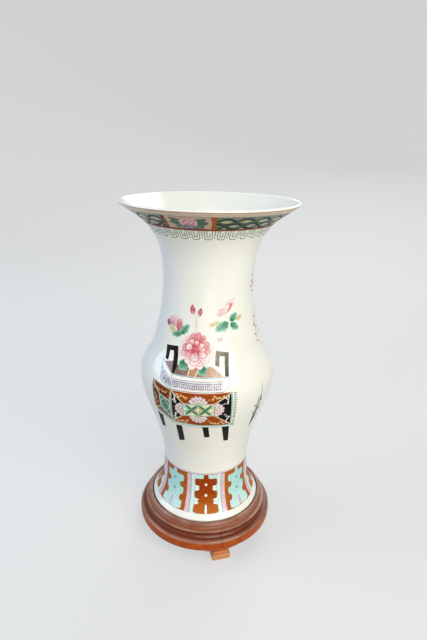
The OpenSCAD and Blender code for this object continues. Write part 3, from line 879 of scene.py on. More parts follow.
def draw_buds(art):
    """Buds and leaves of the spray round the peony."""
    art.pose(-18, 300, 1.3)
    art.stroke("leaf_yellow", smooth([(1, -16), (0.2, -8), (0, 3)]), 0.7, 0.3, 0.6)
    for base, tip, width in (((-4.4, 8), (-6.6, 20), 6.4), ((3.4, 6), (5.8, 16.5), 5.6)):
        art.stroke("leaf_yellow", [(0, 3), base], 0.6, 0.3, 0.6)
        draw_petal(art, base, tip, width, 0.0, 0.15, 0.75)
        draw_petal(art, base, (tip[0] * 0.75 + base[0] * 0.25, tip[1] - 3), width * 0.4, 0.1, 0.35, 0.9)
        draw_leaf(art, base, (base[0] - 1.6, base[1] + 4), 1.8, "leaf_yellow", 0)
    # Half-open flower on the left
    art.pose(-55, 290, 1.25)
    for enamel, base, tip, width, root, edge in (
            ("rose", (-2, -3), (-17.5, 3), 8, 0.3, 0.0), ("rose", (-2, -2), (-12, 9.5), 7.5, 0.3, 0.8),
            ("rose", (-1, -2), (-4, 13), 7, 0.5, 1.1), ("rose", (1, -2), (2.5, 12.5), 6.5, 0.45, 1.1),
            ("coral", (2, -4), (8, 9.5), 7.5, 0.0, 0.6), ("coral", (3, -7), (9.5, 5), 7, 0.0, 0.3),
            ("rose", (4, -8), (8, -1), 4, 0.0, 0.3)):
        draw_petal(art, base, tip, width, root, edge, enamel=enamel)
    for low in (-1, 1.5):
        art.stroke("lilac", [(-8, low - 1), (-16.5, low + 1.5)], 1.1, 0.5, 0.0)
    draw_leaf(art, (1, -10), (-11, -1.5), 10, "leaf_yellow", 2)
    draw_leaf(art, (11, -8.5), (-4, -12.5), 9.5)
    draw_leaf(art, (9.5, -9.5), (20.5, 4.5), 11)
    # Long bud and leaves on the right
    art.pose(36, 298, 1.3)
    art.stroke("leaf_yellow", smooth([(1, -1.5), (-4, -11.5), (-11, -19.5), (-14, -24)]), 0.7, 0.3, 0.5)
    art.stroke("leaf_yellow", smooth([(1, -1.5), (-2, 5), (-8, 12)]), 0.6, 0.3, 0.6)
    for enamel, base, tip, width, root, edge in (
            ("rose", (-8, 13), (10, 29), 7.5, 0.2, 1.2), ("rose", (-3, 16), (-15.5, 9), 9, 0.35, 1.3),
            ("coral", (-12, 8.5), (6.5, 23), 8.5, 0.9, 0.1), ("coral", (-9.5, 12), (1.5, 22), 6, 0.3, 1.4),
            ("rose", (-12, 9), (-1.5, 15.5), 4.5, 0.6, 1.2)):
        draw_petal(art, base, tip, width, root, edge, 1.2, 0, enamel, 0.4)
    for enamel, lobes, base, tip, width in (
            ("leaf_yellow", 2, (-14, 9), (-9, 14), 2.4), ("leaf_yellow", 2, (-11.5, 0.5), (-26, -4), 8.5),
            ("emerald", 3, (0, -0.5), (-18, -10.5), 14.5), ("emerald", 3, (2.5, 0), (12.5, 10.5), 11.5),
            ("emerald", 3, (2.5, -2), (14, -10.5), 11), ("leaf_yellow", 2, (11, 1.5), (21.5, 5.5), 9.5)):
        draw_leaf(art, base, tip, width, enamel, lobes)
    for x, z, turn in ((-12, -22.5, 40), (-9.8, -21, 80), (-14.4, -20.6, 130)):
        art.fill("rose", oval(x, z, 2.0, 1.2, turn, 10), 0.75)
        art.trace("mauve", oval(x, z, 2.0, 1.2, turn, 10), 0.3, 0.4)


def draw_mouth_border(art):
    """Border under the mouth, a quarter: painted shade, a flower between bars, then a lattice of waved bands.
    """
    low, high, half, unit = 416.2, 434.2, 25.0, TURN_MM / 4
    mid, first, last = (low + high) / 2, half + 2.4, unit - half - 1.0
    left, right = -half - 8, unit - half - 8
    cells = 4
    pitch = (last - first) / cells
    art.pose()
    # Painted shade under the flare of the lip: pale brown from the border up to the lip, darker at the top
    art.fill(
        "lip_brown", [(left, high), (right, high), (right, high + 4.4), (left, high + 4.4)],
        fade((0, high + 4.4), (0, high), 0.7, 0.95))
    # Ground of the flower panel: the same pale brown, laid as painted shade under the flare
    art.fill("lip_brown", [(-half, low), (half, low), (half, high), (-half, high)], 0.4)
    art.fill("emerald", [(first, low), (last, low), (last, high), (first, high)], 0.0)
    # Two rows of eyes between waved bands, half a cell apart, and small fillings at the edges
    tall, run = high - low, np.linspace(first, last, 10 * cells + 1)
    for row, turn, enamel, tint, edge in (
            (0.64, 0.0, "leaf_yellow", 0.0, low), (0.3, 0.5, "mauve", 0.6, high)):
        for i in range(cells):
            x, z = first + pitch * (i + 0.5 + turn), low + tall * row
            if x < last - 1:
                for share, deep in ((1.0, tint), (0.5, tint + 0.3)):
                    art.fill(enamel, oval(x, z, pitch * 0.4 * share, tall * 0.15 * share), deep)
                lash = [(x - pitch * 0.36, z - 0.8), (x + pitch * 0.36, z - 0.4)]
                art.stroke("emerald", lash, 0.9, 0.4, 0.2)
                art.fill(enamel, oval(x, edge + (z - edge) * 0.14, pitch * 0.2, tall * 0.06, 0, 12), 0.3)
        for hand in (-1, 1):
            wave = low + tall * (row + hand * 0.2 * np.sin(math.pi * ((run - first) / pitch + turn)))
            art.stroke("emerald", np.c_[run, wave], 3.2, 0, 0.0)
            art.stroke("black", np.c_[run, wave], 2.1, 0, 0.1)
    # Bars at the ends of the flower panel
    art.fill("iron_red", [(-half - 1, high), (-half + 4.5, high), (-half - 1.5, low), (-half - 8, low)], 0.1)
    art.stroke("black", [(-half - 12, low), (-half + 3, high)], 1.6, 0, 0.3)
    art.fill("iron_red", [
        (half - 3.5, high), (half + 4, high), (half + 2.6, mid), (half + 5.5, low), (half - 3, low),
        (half - 1.4, mid)], 0.25)
    art.stroke("gold", [(half - 3.5, high), (half - 1.4, mid), (half - 3, low)], 0.7, 0, 0.4)
    # Flower with its leaves; the wall leans out here, so its height is drawn short
    art.pose(0, mid, 1.3)
    for hand in (-1, 1):
        for tip, width, tint in (((13.5, 6), 6.5, 0.1), ((15.5, 0.5), 7, 0.0), ((12, -6), 6, 0.2)):
            leaf = softened(blade((hand * 3, 0), (hand * tip[0], tip[1]), width, 0.8, 2), 1)
            art.fill("emerald", leaf, tint)
            art.stroke("black", [(hand * 4, 0), (hand * tip[0] * 0.95, tip[1] * 0.95)], 0.8, 0.6, 0.2)
            art.trace("black", leaf, 0.5, 0.3)
    art.fill("lilac", oval(-1, -5, 6.5, 3), 0.1)
    art.fill("mauve", oval(7, -6.4, 4, 1.3), 0.1)
    for i in range(7):
        a = math.radians(-20 + 36 * i)
        draw_petal(art, (math.cos(a), math.sin(a)), (7.4 * math.cos(a), 1 + 6 * math.sin(a)), 5, 0.05, 0.75)
    for x, z in ((-2.5, 0), (2.5, 0.4), (0, 2.6)):
        draw_petal(art, (x * 0.4, z * 0.4 - 1.6), (x, z + 1.6), 3.4, 0.2, 1.0)
    # Lines along the border
    art.pose()
    for z, enamel, width, tint in (
            (high, "mauve", 0.5, 0.3), (low, "iron_red", 1.5, 0.0), (low + 1.2, "black", 0.6, 0.4)):
        art.stroke(enamel, [(left, z), (right, z)], width, 0, tint)


def draw_pendant(art):
    """One hanging key of the fret below the mouth border, and the dot beside it."""
    art.pose(0, 403, 1)
    for line in (
            [(-4.8, 12.6), (-4.8, 2.6), (-3.2, 1), (3.2, 1), (4.8, 2.6), (4.8, 12.6)],
            [(-1.8, 12.6), (-1.8, 4.6), (1.9, 4.6), (1.9, 9)],
            [(8.1, 12.6), (8.1, 7)], [(6.4, 7), (9.8, 7)]):
        art.stroke("fret_green", line, 1.05, 0, 0.3)
    art.fill("iron_red", oval(8.1, 3.6, 1.0, 0.9, 0, 10), 0.5)


def draw_blossom(art, x, z, reach, turn):
    """Five-petalled blossom seen from the front."""
    for i in range(5):
        a = math.radians(turn + 72 * i)
        c, s = math.cos(a), math.sin(a)
        root, tip = (x + reach * 0.1 * c, z + reach * 0.1 * s), (x + reach * c, z + reach * s)
        draw_petal(art, root, tip, reach * 0.95, 0.3, 1.0)
    for i in range(9):
        a = math.radians(turn + 40 * i + 20)
        tip = (x + reach * 0.5 * math.cos(a), z + reach * 0.5 * math.sin(a))
        art.stroke("leaf_yellow", [(x, z), tip], 0.35, 0, 0.4)
        art.fill("gold", oval(*tip, 0.55, 0.55, 0, 8), 0.3)


def draw_twig(art, enamel, points, reach):
    """Twig with small round buds."""
    line = smooth(points)
    art.stroke(enamel, line, reach * 0.5, 0.6, 0.3)
    for k, share in enumerate((0.25, 0.45, 0.62, 0.8, 1.0)):
        i = int(share * (len(line) - 2))
        side = across(line[i], line[i + 1]) * (-1) ** k * reach * 1.5
        art.stroke(enamel, [line[i], line[i] + side], reach * 0.25, 0.4, 0.4)
        for lean in (-0.5, 0.5):
            spot = line[i] + side * (1.3 + 0.3 * lean) + (lean * reach, 0)
            art.fill(enamel, oval(*spot, reach * 0.6, reach * 0.5, 0, 10), 0.5 + 0.3 * lean)


def draw_grass(art, x, z, spread, reach):
    """Tuft of long black blades with three small flowers."""
    art.pose(x, z, spread)
    for tip, bend, width in (
            ((-9, 62), -6, 1.9), ((8, 70), 7, 2.1), ((15, 44), 8, 1.7), ((-16, 36), -7, 1.7),
            ((2, 82), -4, 1.6), ((20, 22), 6, 1.4)):
        outline = blade((0, 0), np.array(tip) * reach, width * 1.3 * reach, 0.8, 0, bend * reach)
        art.fill("black", outline, 0.1)
    for u, v, turn in ((6, 50, 30), (-7, 42, 140), (11, 33, 0)):
        root = np.array((u, v)) * reach
        for lean in (-50, 0, 50):
            a = math.radians(turn + lean)
            tip = root + np.array((math.cos(a), math.sin(a))) * 5 * reach
            art.fill("black", blade(root, tip, 1.6 * reach), 0.7)


def lay_down(name, painting, count=1, turn=0.0):
    """Keeps a painting as a piece on the vase, repeated at even turns, with a material for each enamel."""
    bm = bmesh.new()
    finishes = []
    wall = Wall(bpy.context.scene.vase_form)
    for enamel, mesh in painting.meshes(wall).items():
        finish = enamel_finish(enamel)
        mesh = through_nodes(mesh, ring_repeat, {
            "Count": count, "Turn": math.radians(turn), "Material": finish})
        before = len(bm.faces)
        bm.from_mesh(mesh)
        bm.faces.ensure_lookup_table()
        for face in bm.faces[before:]:
            face.material_index = len(finishes)
        finishes.append(finish)
        bpy.data.meshes.remove(mesh)
    whole = bpy.data.meshes.new(name)
    bm.to_mesh(whole)
    bm.free()
    for finish in finishes:
        whole.materials.append(finish)
    whole.set_sharp_from_angle(angle=SHARP_PAINT)
    keep_piece(name, whole, "vase", "glazed_porcelain")


def new_material(name):
    """Material, its tree and its Principled node."""
    material = bpy.data.materials.new(name)
    material.use_nodes = True
    return material, material.node_tree, material.node_tree.nodes["Principled BSDF"]


def glazed_porcelain():
    """Clear glaze over white porcelain, fired glossy."""
    name = "clear_glaze_on_porcelain"
    if name in bpy.data.materials:
        return bpy.data.materials[name]
    # A deep gloss over a cream body. The glaze pools and thins over 70 mm, faint throwing rings stand 9 mm
    # apart, an orange peel of 1.5 mm breaks reflections up, and a few iron specks, one in some of the 22 mm
    # cells, have burnt through. The lowest 0.6 mm, on which the vase stands, is bare.
    colours = bpy.context.scene.vase_finishes
    material, tree, shader = new_material(name)
    place = node(tree, "ShaderNodeTexCoord").outputs["Object"]
    level = node(tree, "ShaderNodeMapping", (), {"Vector": place, "Scale": (0.1, 0.1, 1.0)}).outputs[0]
    pool, rings, peel = (
        node(tree, "ShaderNodeTexNoise", (), {
            "Vector": where, "Scale": 1 / (wide * MM), "Detail": detail}).outputs["Fac"]
        for where, wide, detail in ((place, 70, 3.0), (level, 9, 2.0), (place, 1.5, 1.0)))
    cells = node(tree, "ShaderNodeTexVoronoi", (), {"Vector": place, "Scale": 1 / (22 * MM)}).outputs
    chance = node(tree, "ShaderNodeSeparateColor", (), {0: cells["Color"]}).outputs[0]
    height = node(tree, "ShaderNodeSeparateXYZ", (), {0: place}).outputs["Z"]
    rare, bare = (
        node(tree, "ShaderNodeMath", {"operation": "LESS_THAN"}, {0: value, 1: limit}).outputs[0]
        for value, limit in ((chance, 0.3), (height, SEAT + 0.6 * MM)))
    speck = node(tree, "ShaderNodeMapRange", (), {
        "Value": cells["Distance"], "From Min": 0.012, "From Max": 0.03, "To Min": 0.75, "To Max": 0.0})
    burnt = node(tree, "ShaderNodeMath", {"operation": "MULTIPLY"}, {0: speck.outputs[0], 1: rare}).outputs[0]
    shown = colours.glaze
    for share, over in ((pool, colours.glaze_cool), (burnt, colours.mauve), (bare, colours.biscuit)):
        shown = node(tree, "ShaderNodeMix", {"data_type": "RGBA"}, {0: share, 6: shown, 7: over}).outputs[2]
    gloss = node(tree, "ShaderNodeMapRange", (), {"Value": pool, "To Min": 0.1, "To Max": 0.18})
    rough = node(tree, "ShaderNodeMath", {"operation": "MULTIPLY_ADD"}, {
        0: bare, 1: 0.6, 2: gloss.outputs[0]})
    thrown = node(tree, "ShaderNodeBump", (), {"Height": rings, "Strength": 0.12, "Distance": 0.4 * MM})
    bump = node(tree, "ShaderNodeBump", (), {
        "Height": peel, "Strength": 0.08, "Distance": 0.05 * MM, "Normal": thrown.outputs[0]})
    feed(tree, shader, {
        "Base Color": shown, "Roughness": rough.outputs[0], "Normal": bump.outputs[0], "IOR": 1.5})
    return material


def enamel_finish(enamel):
    """Overglaze enamel, laid with a brush and fired on the glaze."""
    name = enamel + "_enamel"
    if name in bpy.data.materials:
        return bpy.data.materials[name]
    # A thin glassy colour that pools darker where the brush paused and shows the ground where it lies thin.
    *_, roughness, pool_mm, shine = ENAMELS[enamel]
    colours = bpy.context.scene.vase_finishes
    material, tree, shader = new_material(name)
    place = node(tree, "ShaderNodeTexCoord").outputs["Object"]
    tint = node(tree, "ShaderNodeAttribute", {"attribute_name": "tint"}).outputs["Fac"]
    pool = node(tree, "ShaderNodeTexNoise", (), {
        "Vector": place, "Scale": 1 / (pool_mm * MM), "Detail": 3.0}).outputs["Fac"]
    thin = node(tree, "ShaderNodeMapRange", (), {
        "Value": pool, "From Min": 0.3, "From Max": 0.7, "To Min": -0.18, "To Max": 0.18})
    share = node(tree, "ShaderNodeMath", {"operation": "ADD", "use_clamp": True}, {
        0: tint, 1: thin.outputs[0]})
    shown = node(tree, "ShaderNodeMix", {"data_type": "RGBA"}, {
        0: share.outputs[0], 6: getattr(colours, enamel), 7: getattr(colours, enamel + "_thin")})
    rough = node(tree, "ShaderNodeMapRange", (), {
        "Value": pool, "To Min": roughness * 0.7, "To Max": roughness * 1.3})
    bump = node(tree, "ShaderNodeBump", (), {"Height": pool, "Strength": 0.25, "Distance": 0.05 * MM})
    feed(tree, shader, {
        "Base Color": shown.outputs[2], "Roughness": rough.outputs[0], "Normal": bump.outputs[0],
        "IOR": 1.52, "Specular IOR Level": shine})
    return material


# Woods: colours of the body and of its polish, which is also painted light, roughness, and whether the grain
# runs along marked boards.
WOODS = {
    "lacquered_hardwood": ("wood_brown", "wood_orange", 0.36, True),
    "lacquered_foot_hardwood": ("wood_orange", "wood_toe", 0.36, True),
    "oiled_board_wood": ("wood_brown", "wood_brown", 0.55, False),
    "bare_bamboo": ("bamboo", "bamboo", 0.6, False)}


def lacquered_wood(name):
    """Hardwood, turned, stained and lacquered, or the plainer board and bamboo inside the stand."""
    if name in bpy.data.materials:
        return bpy.data.materials[name]
    # A warm brown under a gloss. Growth bands of 6 mm and dark pores 0.5 mm wide and 9 mm long run along the
    # board. The lacquer has greyed on the edges that hands touch, and the same grey is laid as painted
    # highlight and sheen. The colour of the polished wood is painted light on the lower torus and the feet.
    # Dirt has darkened the joints.
    # The second colour of each wood is also laid as painted light.
    body, polished, roughness, marked = WOODS[name]
    colours = bpy.context.scene.vase_finishes
    material, tree, shader = new_material(name)
    if marked:
        place = node(tree, "ShaderNodeAttribute", {"attribute_name": "grain"}).outputs["Vector"]
    else:
        place = node(tree, "ShaderNodeTexCoord").outputs["Object"]
    finish = node(tree, "ShaderNodeAttribute", {"attribute_name": "finish"}).outputs["Vector"]
    wear_and_highlight, polish_and_light, dirt = node(tree, "ShaderNodeSeparateXYZ", (), {0: finish}).outputs
    # Bands, pores and stain: share of the scale along the board, width in millimetres, detail, distortion
    bands, pores, stain = (
        node(tree, "ShaderNodeTexNoise", (), {
            "Vector": node(tree, "ShaderNodeMapping", (), {
                "Vector": place, "Scale": (along, 1.0, 1.0)}).outputs[0],
            "Scale": 1 / (wide * MM), "Detail": detail, "Distortion": bent}).outputs["Fac"]
        for along, wide, detail, bent in ((0.08, 6, 4.0, 0.6), (0.055, 1.1, 2.0, 0.0), (1.0, 35, 3.0, 0.0)))
    band, pore, patch, rough, coat = (
        node(tree, "ShaderNodeMapRange", (), {
            "Value": value, "From Min": low, "From Max": high, "To Min": start, "To Max": end}).outputs[0]
        for value, low, high, start, end in (
            (bands, 0.35, 0.7, 0.0, 0.4), (pores, 0.56, 0.7, 0.0, 0.5), (stain, 0.35, 0.65, 0.4, 1.0),
            (stain, 0.0, 1.0, roughness * 0.7, roughness * 1.4), (polish_and_light, 0.0, 1.0, 0.5, 0.1)))
    rubbed_and_highlight = node(tree, "ShaderNodeMath", {"operation": "MULTIPLY"}, {0: wear_and_highlight, 1: patch}).outputs[0]
    shown = getattr(colours, body)
    # Painted light in the polished colour, then grain, pores, worn grey that is also painted highlight, and
    # dirt
    for share, over in (
            (polish_and_light, getattr(colours, polished)), (band, colours.wood_dark), (pore, colours.wood_dark),
            (rubbed_and_highlight, colours.wood_worn_and_highlight), (dirt, colours.black)):
        shown = node(tree, "ShaderNodeMix", {"data_type": "RGBA"}, {0: share, 6: shown, 7: over}).outputs[2]
    bump = node(tree, "ShaderNodeBump", {"invert": True}, {
        "Height": pore, "Strength": 0.3, "Distance": 0.1 * MM})
    feed(tree, shader, {
        "Base Color": shown, "Roughness": rough, "Coat Weight": coat, "Normal": bump.outputs[0],
        "IOR": 1.5, "Specular IOR Level": 0.15, "Coat Roughness": 0.1})
    return material


# Shift of the grain in metres for each radian that a board is turned, so that no two are alike, and half the
# width in millimetres of the dirt in a joint.
BOARD_SHIFT = 0.06
JOINT_DIRT = 0.05


def mark_grain(mesh, turn, wear_and_highlight, polish_and_light, seams=()):
    """Writes each point's place in its board, along, across and up; wear and painted highlight; polish and
    painted light; dirt.
    """
    co = np.empty(len(mesh.vertices) * 3, np.float32)
    mesh.vertices.foreach_get("co", co)
    co = co.reshape(-1, 3)
    c, s = math.cos(turn), math.sin(turn)
    shift = turn * BOARD_SHIFT
    board = np.c_[co[:, 0] * c + co[:, 1] * s + shift, co[:, 1] * c - co[:, 0] * s + shift, co[:, 2] + shift]
    r, z = np.hypot(co[:, 0], co[:, 1]) / MM, co[:, 2] / MM
    dirt = np.zeros(len(co))
    for seam in seams:
        off = np.abs(co[:, 0] * math.cos(seam) + co[:, 1] * math.sin(seam)) / MM
        dirt = np.maximum(dirt, off < JOINT_DIRT)
    for name, values in (("grain", board), ("finish", np.c_[wear_and_highlight(r, z), polish_and_light(r, z), dirt])):
        marks = mesh.attributes.new(name, "FLOAT_VECTOR", "POINT")
        marks.data.foreach_set("vector", values.astype(np.float32).ravel())


def near(value, centre, reach):
    """1 at a centre, falling to 0 at a reach from it."""
    return np.clip(1 - np.abs(value - centre) / reach, 0, 1)


# Stand: middle of each segment of the rim and the apron and of each foot, in degrees from the front.
FOOT_TURN = 16
SIDE_TURN = 120
RIMS = {
    "rim_front": FOOT_TURN,
    "rim_back_right": FOOT_TURN + SIDE_TURN,
    "rim_back_left": FOOT_TURN + 2 * SIDE_TURN}
APRONS = {
    name: middle + SIDE_TURN / 2
    for name, middle in zip(("apron_right", "apron_back", "apron_left"), RIMS.values())}
FEET = {name.replace("rim", "foot"): middle for name, middle in RIMS.items()}


def turn_segments(segments, profile, groove, wear_and_highlight, polish_and_light, slot):
    """Segments of a turned ring of the stand, joint to joint, with wear and painted highlight, polish and
    painted light, and dirty joints.
    """
    for name, middle in segments.items():
        start, end = (math.radians(middle + side * SIDE_TURN / 2) for side in (-1, 1))
        wood = lacquered_wood("lacquered_hardwood")
        mesh = turned(profile, wood, SEGMENT_SIDES, start, end - start, groove)
        mark_grain(mesh, math.radians(middle), wear_and_highlight, polish_and_light, (start, end))
        keep_piece("turned_" + name, mesh, "stand", slot, name)


class VASE_OT_throw(bpy.types.Operator):
    """Throws the neck, belly and foot of the vase and glazes them"""

    bl_idname = "vase.throw"
    bl_label = "Throw vase"

    def execute(self, context):
        wall = Wall(context.scene.vase_form)
        mm = wall.mm
        waist, collar, recess, bevel = (mm[key] for key in ("waist_h", "collar_h", "recess_h", "foot_bevel"))
        inside = recess + mm["base_t"]
        round_top = inside + mm["base_round"]
        ring_out = mm["foot_r"] - bevel
        ring_in = ring_out - mm["ring_w"]
        hollow_r = ring_in - bevel
        corner = (float(wall.inner(round_top)) - mm["base_round"], round_top)
        sections = {
            "vase_neck": [
                *wall.line(collar, wall.top, wall.outer)[:-1],
                *rounds(wall.lip, (mm["lip_t"] / 2,) * 2, -wall.lean, 180 - wall.lean, 24),
                *wall.line(collar, wall.top, wall.inner)[::-1]],
            "vase_belly": [
                *wall.line(waist, collar, wall.outer),
                *wall.line(waist, collar, wall.inner)[::-1]],
            "vase_foot": [
                (ring_out, 0),
                *rounds((ring_out, bevel), (bevel, bevel), -90, 0, 6)[1:],
                *wall.line(mm["foot_edge_h"], waist, wall.outer),
                *wall.line(round_top, waist, wall.inner)[:0:-1],
                *rounds(corner, (mm["base_round"],) * 2, 0, -90),
                (0, inside), (0, recess), (hollow_r, recess), (hollow_r, bevel), (ring_in, 0)]}
        for name, profile in sections.items():
            mesh = turned([(r, z + SEAT / MM) for r, z in profile], glazed_porcelain(), VASE_SIDES)
            keep_piece(name.replace("vase", "glazed"), mesh, "vase", "glazed_porcelain", name)
        return {"FINISHED"}


class VASE_OT_paint_lappets(bpy.types.Operator):
    """Paints the band of upright panels round the foot"""

    bl_idname = "vase.paint_lappets"
    bl_label = "Paint lappets"

    def execute(self, context):
        panel = TURN_MM / 8
        low, high = 9.5, 68.0
        edge, stripe = panel / 2, 4.0
        half = [
            (4.6, 67.6), (4.6, 61.8), (9, 60.6), (21, 61), (21.8, 55), (21.2, 50), (17, 49), (13.4, 47.8),
            (13.2, 42.4), (16, 40.6), (21.4, 40.2), (22, 35), (21, 30.4), (18, 29.2), (15, 27), (15, 22.6),
            (17, 21), (21.6, 20.4), (22.4, 9.8)]
        whole = softened(half + [(-x, z) for x, z in half[::-1]], 2, 0.15)
        slit = softened([(-2.4, 9.6), (2.4, 9.6), (1.8, 21.4), (-1.8, 21.4)], 1)
        art = Painting()
        for middle, ground, figure, dot, gap in (
                (0, "turquoise", "iron_red", "white", "white"),
                (panel, "iron_red", "turquoise", "fret_green", "pink")):
            art.pose(middle)
            art.fill(ground, [(-edge, low), (edge, low), (edge, high), (-edge, high)], 0.4)
            art.fill(figure, whole, fade((0, 24), (0, 8), 0.3, 0.6))
            if figure == "turquoise":
                art.trace("black", whole, 0.35, 0.9)
            for z in (51.2, 34.2):
                art.fill(dot, oval(0, z, 2.7, 2.2), 0.5)
            art.fill(gap, slit, 0.5)
            art.trace("black", slit, 0.35, 0.7)
            for side in (-1, 1):
                x = side * (edge - stripe / 2)
                lining = side * (edge - stripe)
                if ground == "turquoise":
                    for u, z in ((16.8, 47.6), (16.8, 43.4), (17.6, 27.4), (17.6, 23)):
                        art.fill("white", oval(side * u, z, 4.2, 1.5), 0.5)
                    art.stroke("white", [(side * 25.5, low), (side * 25.5, high - 1)], 1.8, 0, 0.5)
                art.stroke("pink", [(x, low), (x, high)], stripe, 0, 0.5)
                if ground == "turquoise":
                    art.stroke("black", [(lining, low), (lining, high)], 0.6, 0, 0.4)
        art.pose()
        for z, enamel, width, tint in (
                (high + 1.3, "pink", 2.4, 0.75), (high, "black", 0.6, 0.5), (high + 2.4, "pink", 0.5, 0.0)):
            art.stroke(enamel, [(-edge, z), (3 * edge, z)], width, 0, tint)
        lay_down("painted_lappets", art, 4, 2)
        return {"FINISHED"}


class VASE_OT_paint_planter(bpy.types.Operator):
    """Paints the planter with its peony on the front"""

    bl_idname = "vase.paint_planter"
    bl_label = "Paint planter"

    def execute(self, context):
        art = Painting()
        draw_planter(art)
        draw_peony(art)
        draw_buds(art)
        lay_down("painted_planter", art)
        return {"FINISHED"}


class VASE_OT_line_lip(bpy.types.Operator):
    """Dresses the lip with its brown line"""

    bl_idname = "vase.line_lip"
    bl_label = "Line lip"

    # Start and end of the line on the round of the lip, in degrees, and its height and root in millimetres.
    LOW, HIGH = -62, -8
    PROUD, ROOT = 0.07, -0.2

    def execute(self, context):
        wall = Wall(context.scene.vase_form)
        half = wall.mm["lip_t"] / 2
        lip = (wall.lip[0], wall.lip[1] + SEAT / MM)
        line = [
            *rounds(lip, (half + self.PROUD,) * 2, self.LOW, self.HIGH),
            *rounds(lip, (half + self.ROOT,) * 2, self.HIGH, self.LOW)]
        mesh = turned(line, enamel_finish("lip_brown"), VASE_SIDES)
        keep_piece("lip_line", mesh, "vase", "glazed_porcelain")
        return {"FINISHED"}


class VASE_OT_paint_borders(bpy.types.Operator):
    """Paints the border under the mouth and the fret that hangs from it"""

    bl_idname = "vase.paint_borders"
    bl_label = "Paint borders"

    def execute(self, context):
        for name, draw, count, turn in (
                ("painted_border", draw_mouth_border, 4, -13.5), ("painted_fret", draw_pendant, 33, 0)):
            art = Painting()
            draw(art)
            lay_down(name, art, count, turn)
        return {"FINISHED"}


class VASE_OT_paint_sprigs(bpy.types.Operator):
    """Paints the grass and twigs of the right side and the flower spray of the back"""

    bl_idname = "vase.paint_sprigs"
    bl_label = "Paint sprigs"

    def execute(self, context):
        art = Painting()
        draw_grass(art, 75, 140, 0.6, 0.94)
        art.pose()
        draw_twig(art, "iron_red", [(97, 353), (101, 343), (98, 330)], 2.2)
        draw_twig(art, "iron_red", [(101, 304), (99, 290), (102, 276), (98, 261)], 2.4)
        back = TURN_MM / 2
        art.pose(back, 210, 1)
        for width, points in (
                (5.0, [(-46, -72), (-30, -40), (-34, -10), (-12, 22), (-14, 58), (6, 92)]),
                (3.4, [(-31, -30), (-4, -18), (22, 2), (38, 30)]),
                (2.8, [(-16, 18), (-38, 34), (-48, 62)]), (2.4, [(22, 2), (40, -8), (50, -24)])):
            art.stroke("mauve", smooth(points), width, 0.6, 0.1)
            art.stroke("black", smooth(points), width * 0.25, 0.6, 0.5)
        for x, z, reach, turn in (
                (-36, -34, 12, 10), (-6, -16, 13, 40), (24, 6, 12, 0), (-14, 30, 13, 25), (-44, 50, 10, 50),
                (8, 70, 11, 5), (40, 36, 9, 30), (46, -18, 9, 60)):
            draw_blossom(art, x, z, reach, turn)
        for base, tip, width in (
                ((-26, -8), (-44, 4), 8), ((8, -12), (14, -34), 9), ((36, 22), (54, 28), 7),
                ((-16, 50), (-32, 74), 8), ((-4, 78), (12, 98), 7)):
            draw_leaf(art, base, tip, width)
        for x, z in ((10, 92), (38, 38), (-49, 64), (52, -27)):
            draw_petal(art, (x - 3, z - 4), (x, z + 3), 4, 0.0, 0.4)
        draw_grass(art, back + 34, 128, 0.95, 0.6)
        lay_down("painted_sprigs", art)
        return {"FINISHED"}


class VASE_OT_turn_rim(bpy.types.Operator):
    """Turns the segments of the stand's beaded rim"""

    bl_idname = "vase.turn_rim"
    bl_label = "Turn rim"

    def execute(self, context):
        mm = in_mm(context.scene.stand_form)
        foot, top, line, ease = (mm[key] for key in ("rim_h", "rim_top_h", "bead_line", "edge_round"))
        edge_r = mm["seat_r"] + ease
        top_r = edge_r + mm["rim_flat_w"]
        low_r = mm["rim_r"] - mm["low_bead_w"]
        low_h = foot + mm["rim_edge_h"]
        line_r, line_h = low_r + line, low_h + mm["low_bead_h"] + line
        profile = [
            (mm["groove_r"], foot), (mm["rim_r"], foot),
            *rounds((low_r, low_h), (mm["low_bead_w"], mm["low_bead_h"]), 0, 90),
            *rounds((top_r, line_h), (line_r - top_r, top - line_h), 0, 90),
            *rounds((edge_r, top - ease), (ease, ease), 90, 180, 6),
            (mm["seat_r"], mm["groove_top_h"]), (mm["groove_r"], mm["groove_top_h"])]
        # Worn all over and most at the seat, where the grey is also painted sheen, with a little polish at the
        # outer edge
        turn_segments(
            RIMS, profile, mm["seam_groove"] / 3,
            lambda r, z: 0.25 + 0.75 * near(r, mm["seat_r"], 5.5),
            lambda r, z: 0.3 * near(r, mm["rim_r"], 2), "rim_wood")
        return {"FINISHED"}


class VASE_OT_turn_apron(bpy.types.Operator):
    """Turns the segments of the stand's apron, with its hollow and torus"""

    bl_idname = "vase.turn_apron"
    bl_label = "Turn apron"

    def execute(self, context):
        mm = in_mm(context.scene.stand_form)
        top, foot, inner, outer, arris = (
            mm[key] for key in ("rim_h", "apron_h", "apron_in_r", "torus_r", "arris_r"))
        ease, above, under = mm["arris_ease"], mm["torus_round"], mm["under_round"]
        hollow_top = top - mm["arris_h"]
        torus_top = hollow_top - mm["hollow_h"]
        hollow = [
            (arris - mm["hollow_d"] * math.sin(math.pi * t), hollow_top - mm["hollow_h"] * t)
            for t in (i / 16 for i in range(17))]
        profile = [
            (inner, top),
            *rounds((arris - ease, top - ease), (ease, ease), 90, 0, 4),
            *hollow,
            *rounds((outer - above, torus_top - above), (above, above), 90, 0, 16),
            *rounds((outer - under, foot + under), (under, under), 0, -90, 8),
            (inner, foot)]
        # Painted highlights in worn grey at the arris and at the top of the torus, and painted light below
        # that, where the torus turns a bright orange
        turn_segments(
            APRONS, profile, mm["seam_groove"],
            lambda r, z: 0.8 * near(z, top, 1.4) + 0.6 * near(z, torus_top - 2, 2.2),
            lambda r, z: np.clip((torus_top - 1.5 - z) / 4, 0, 1), "apron_wood")
        return {"FINISHED"}


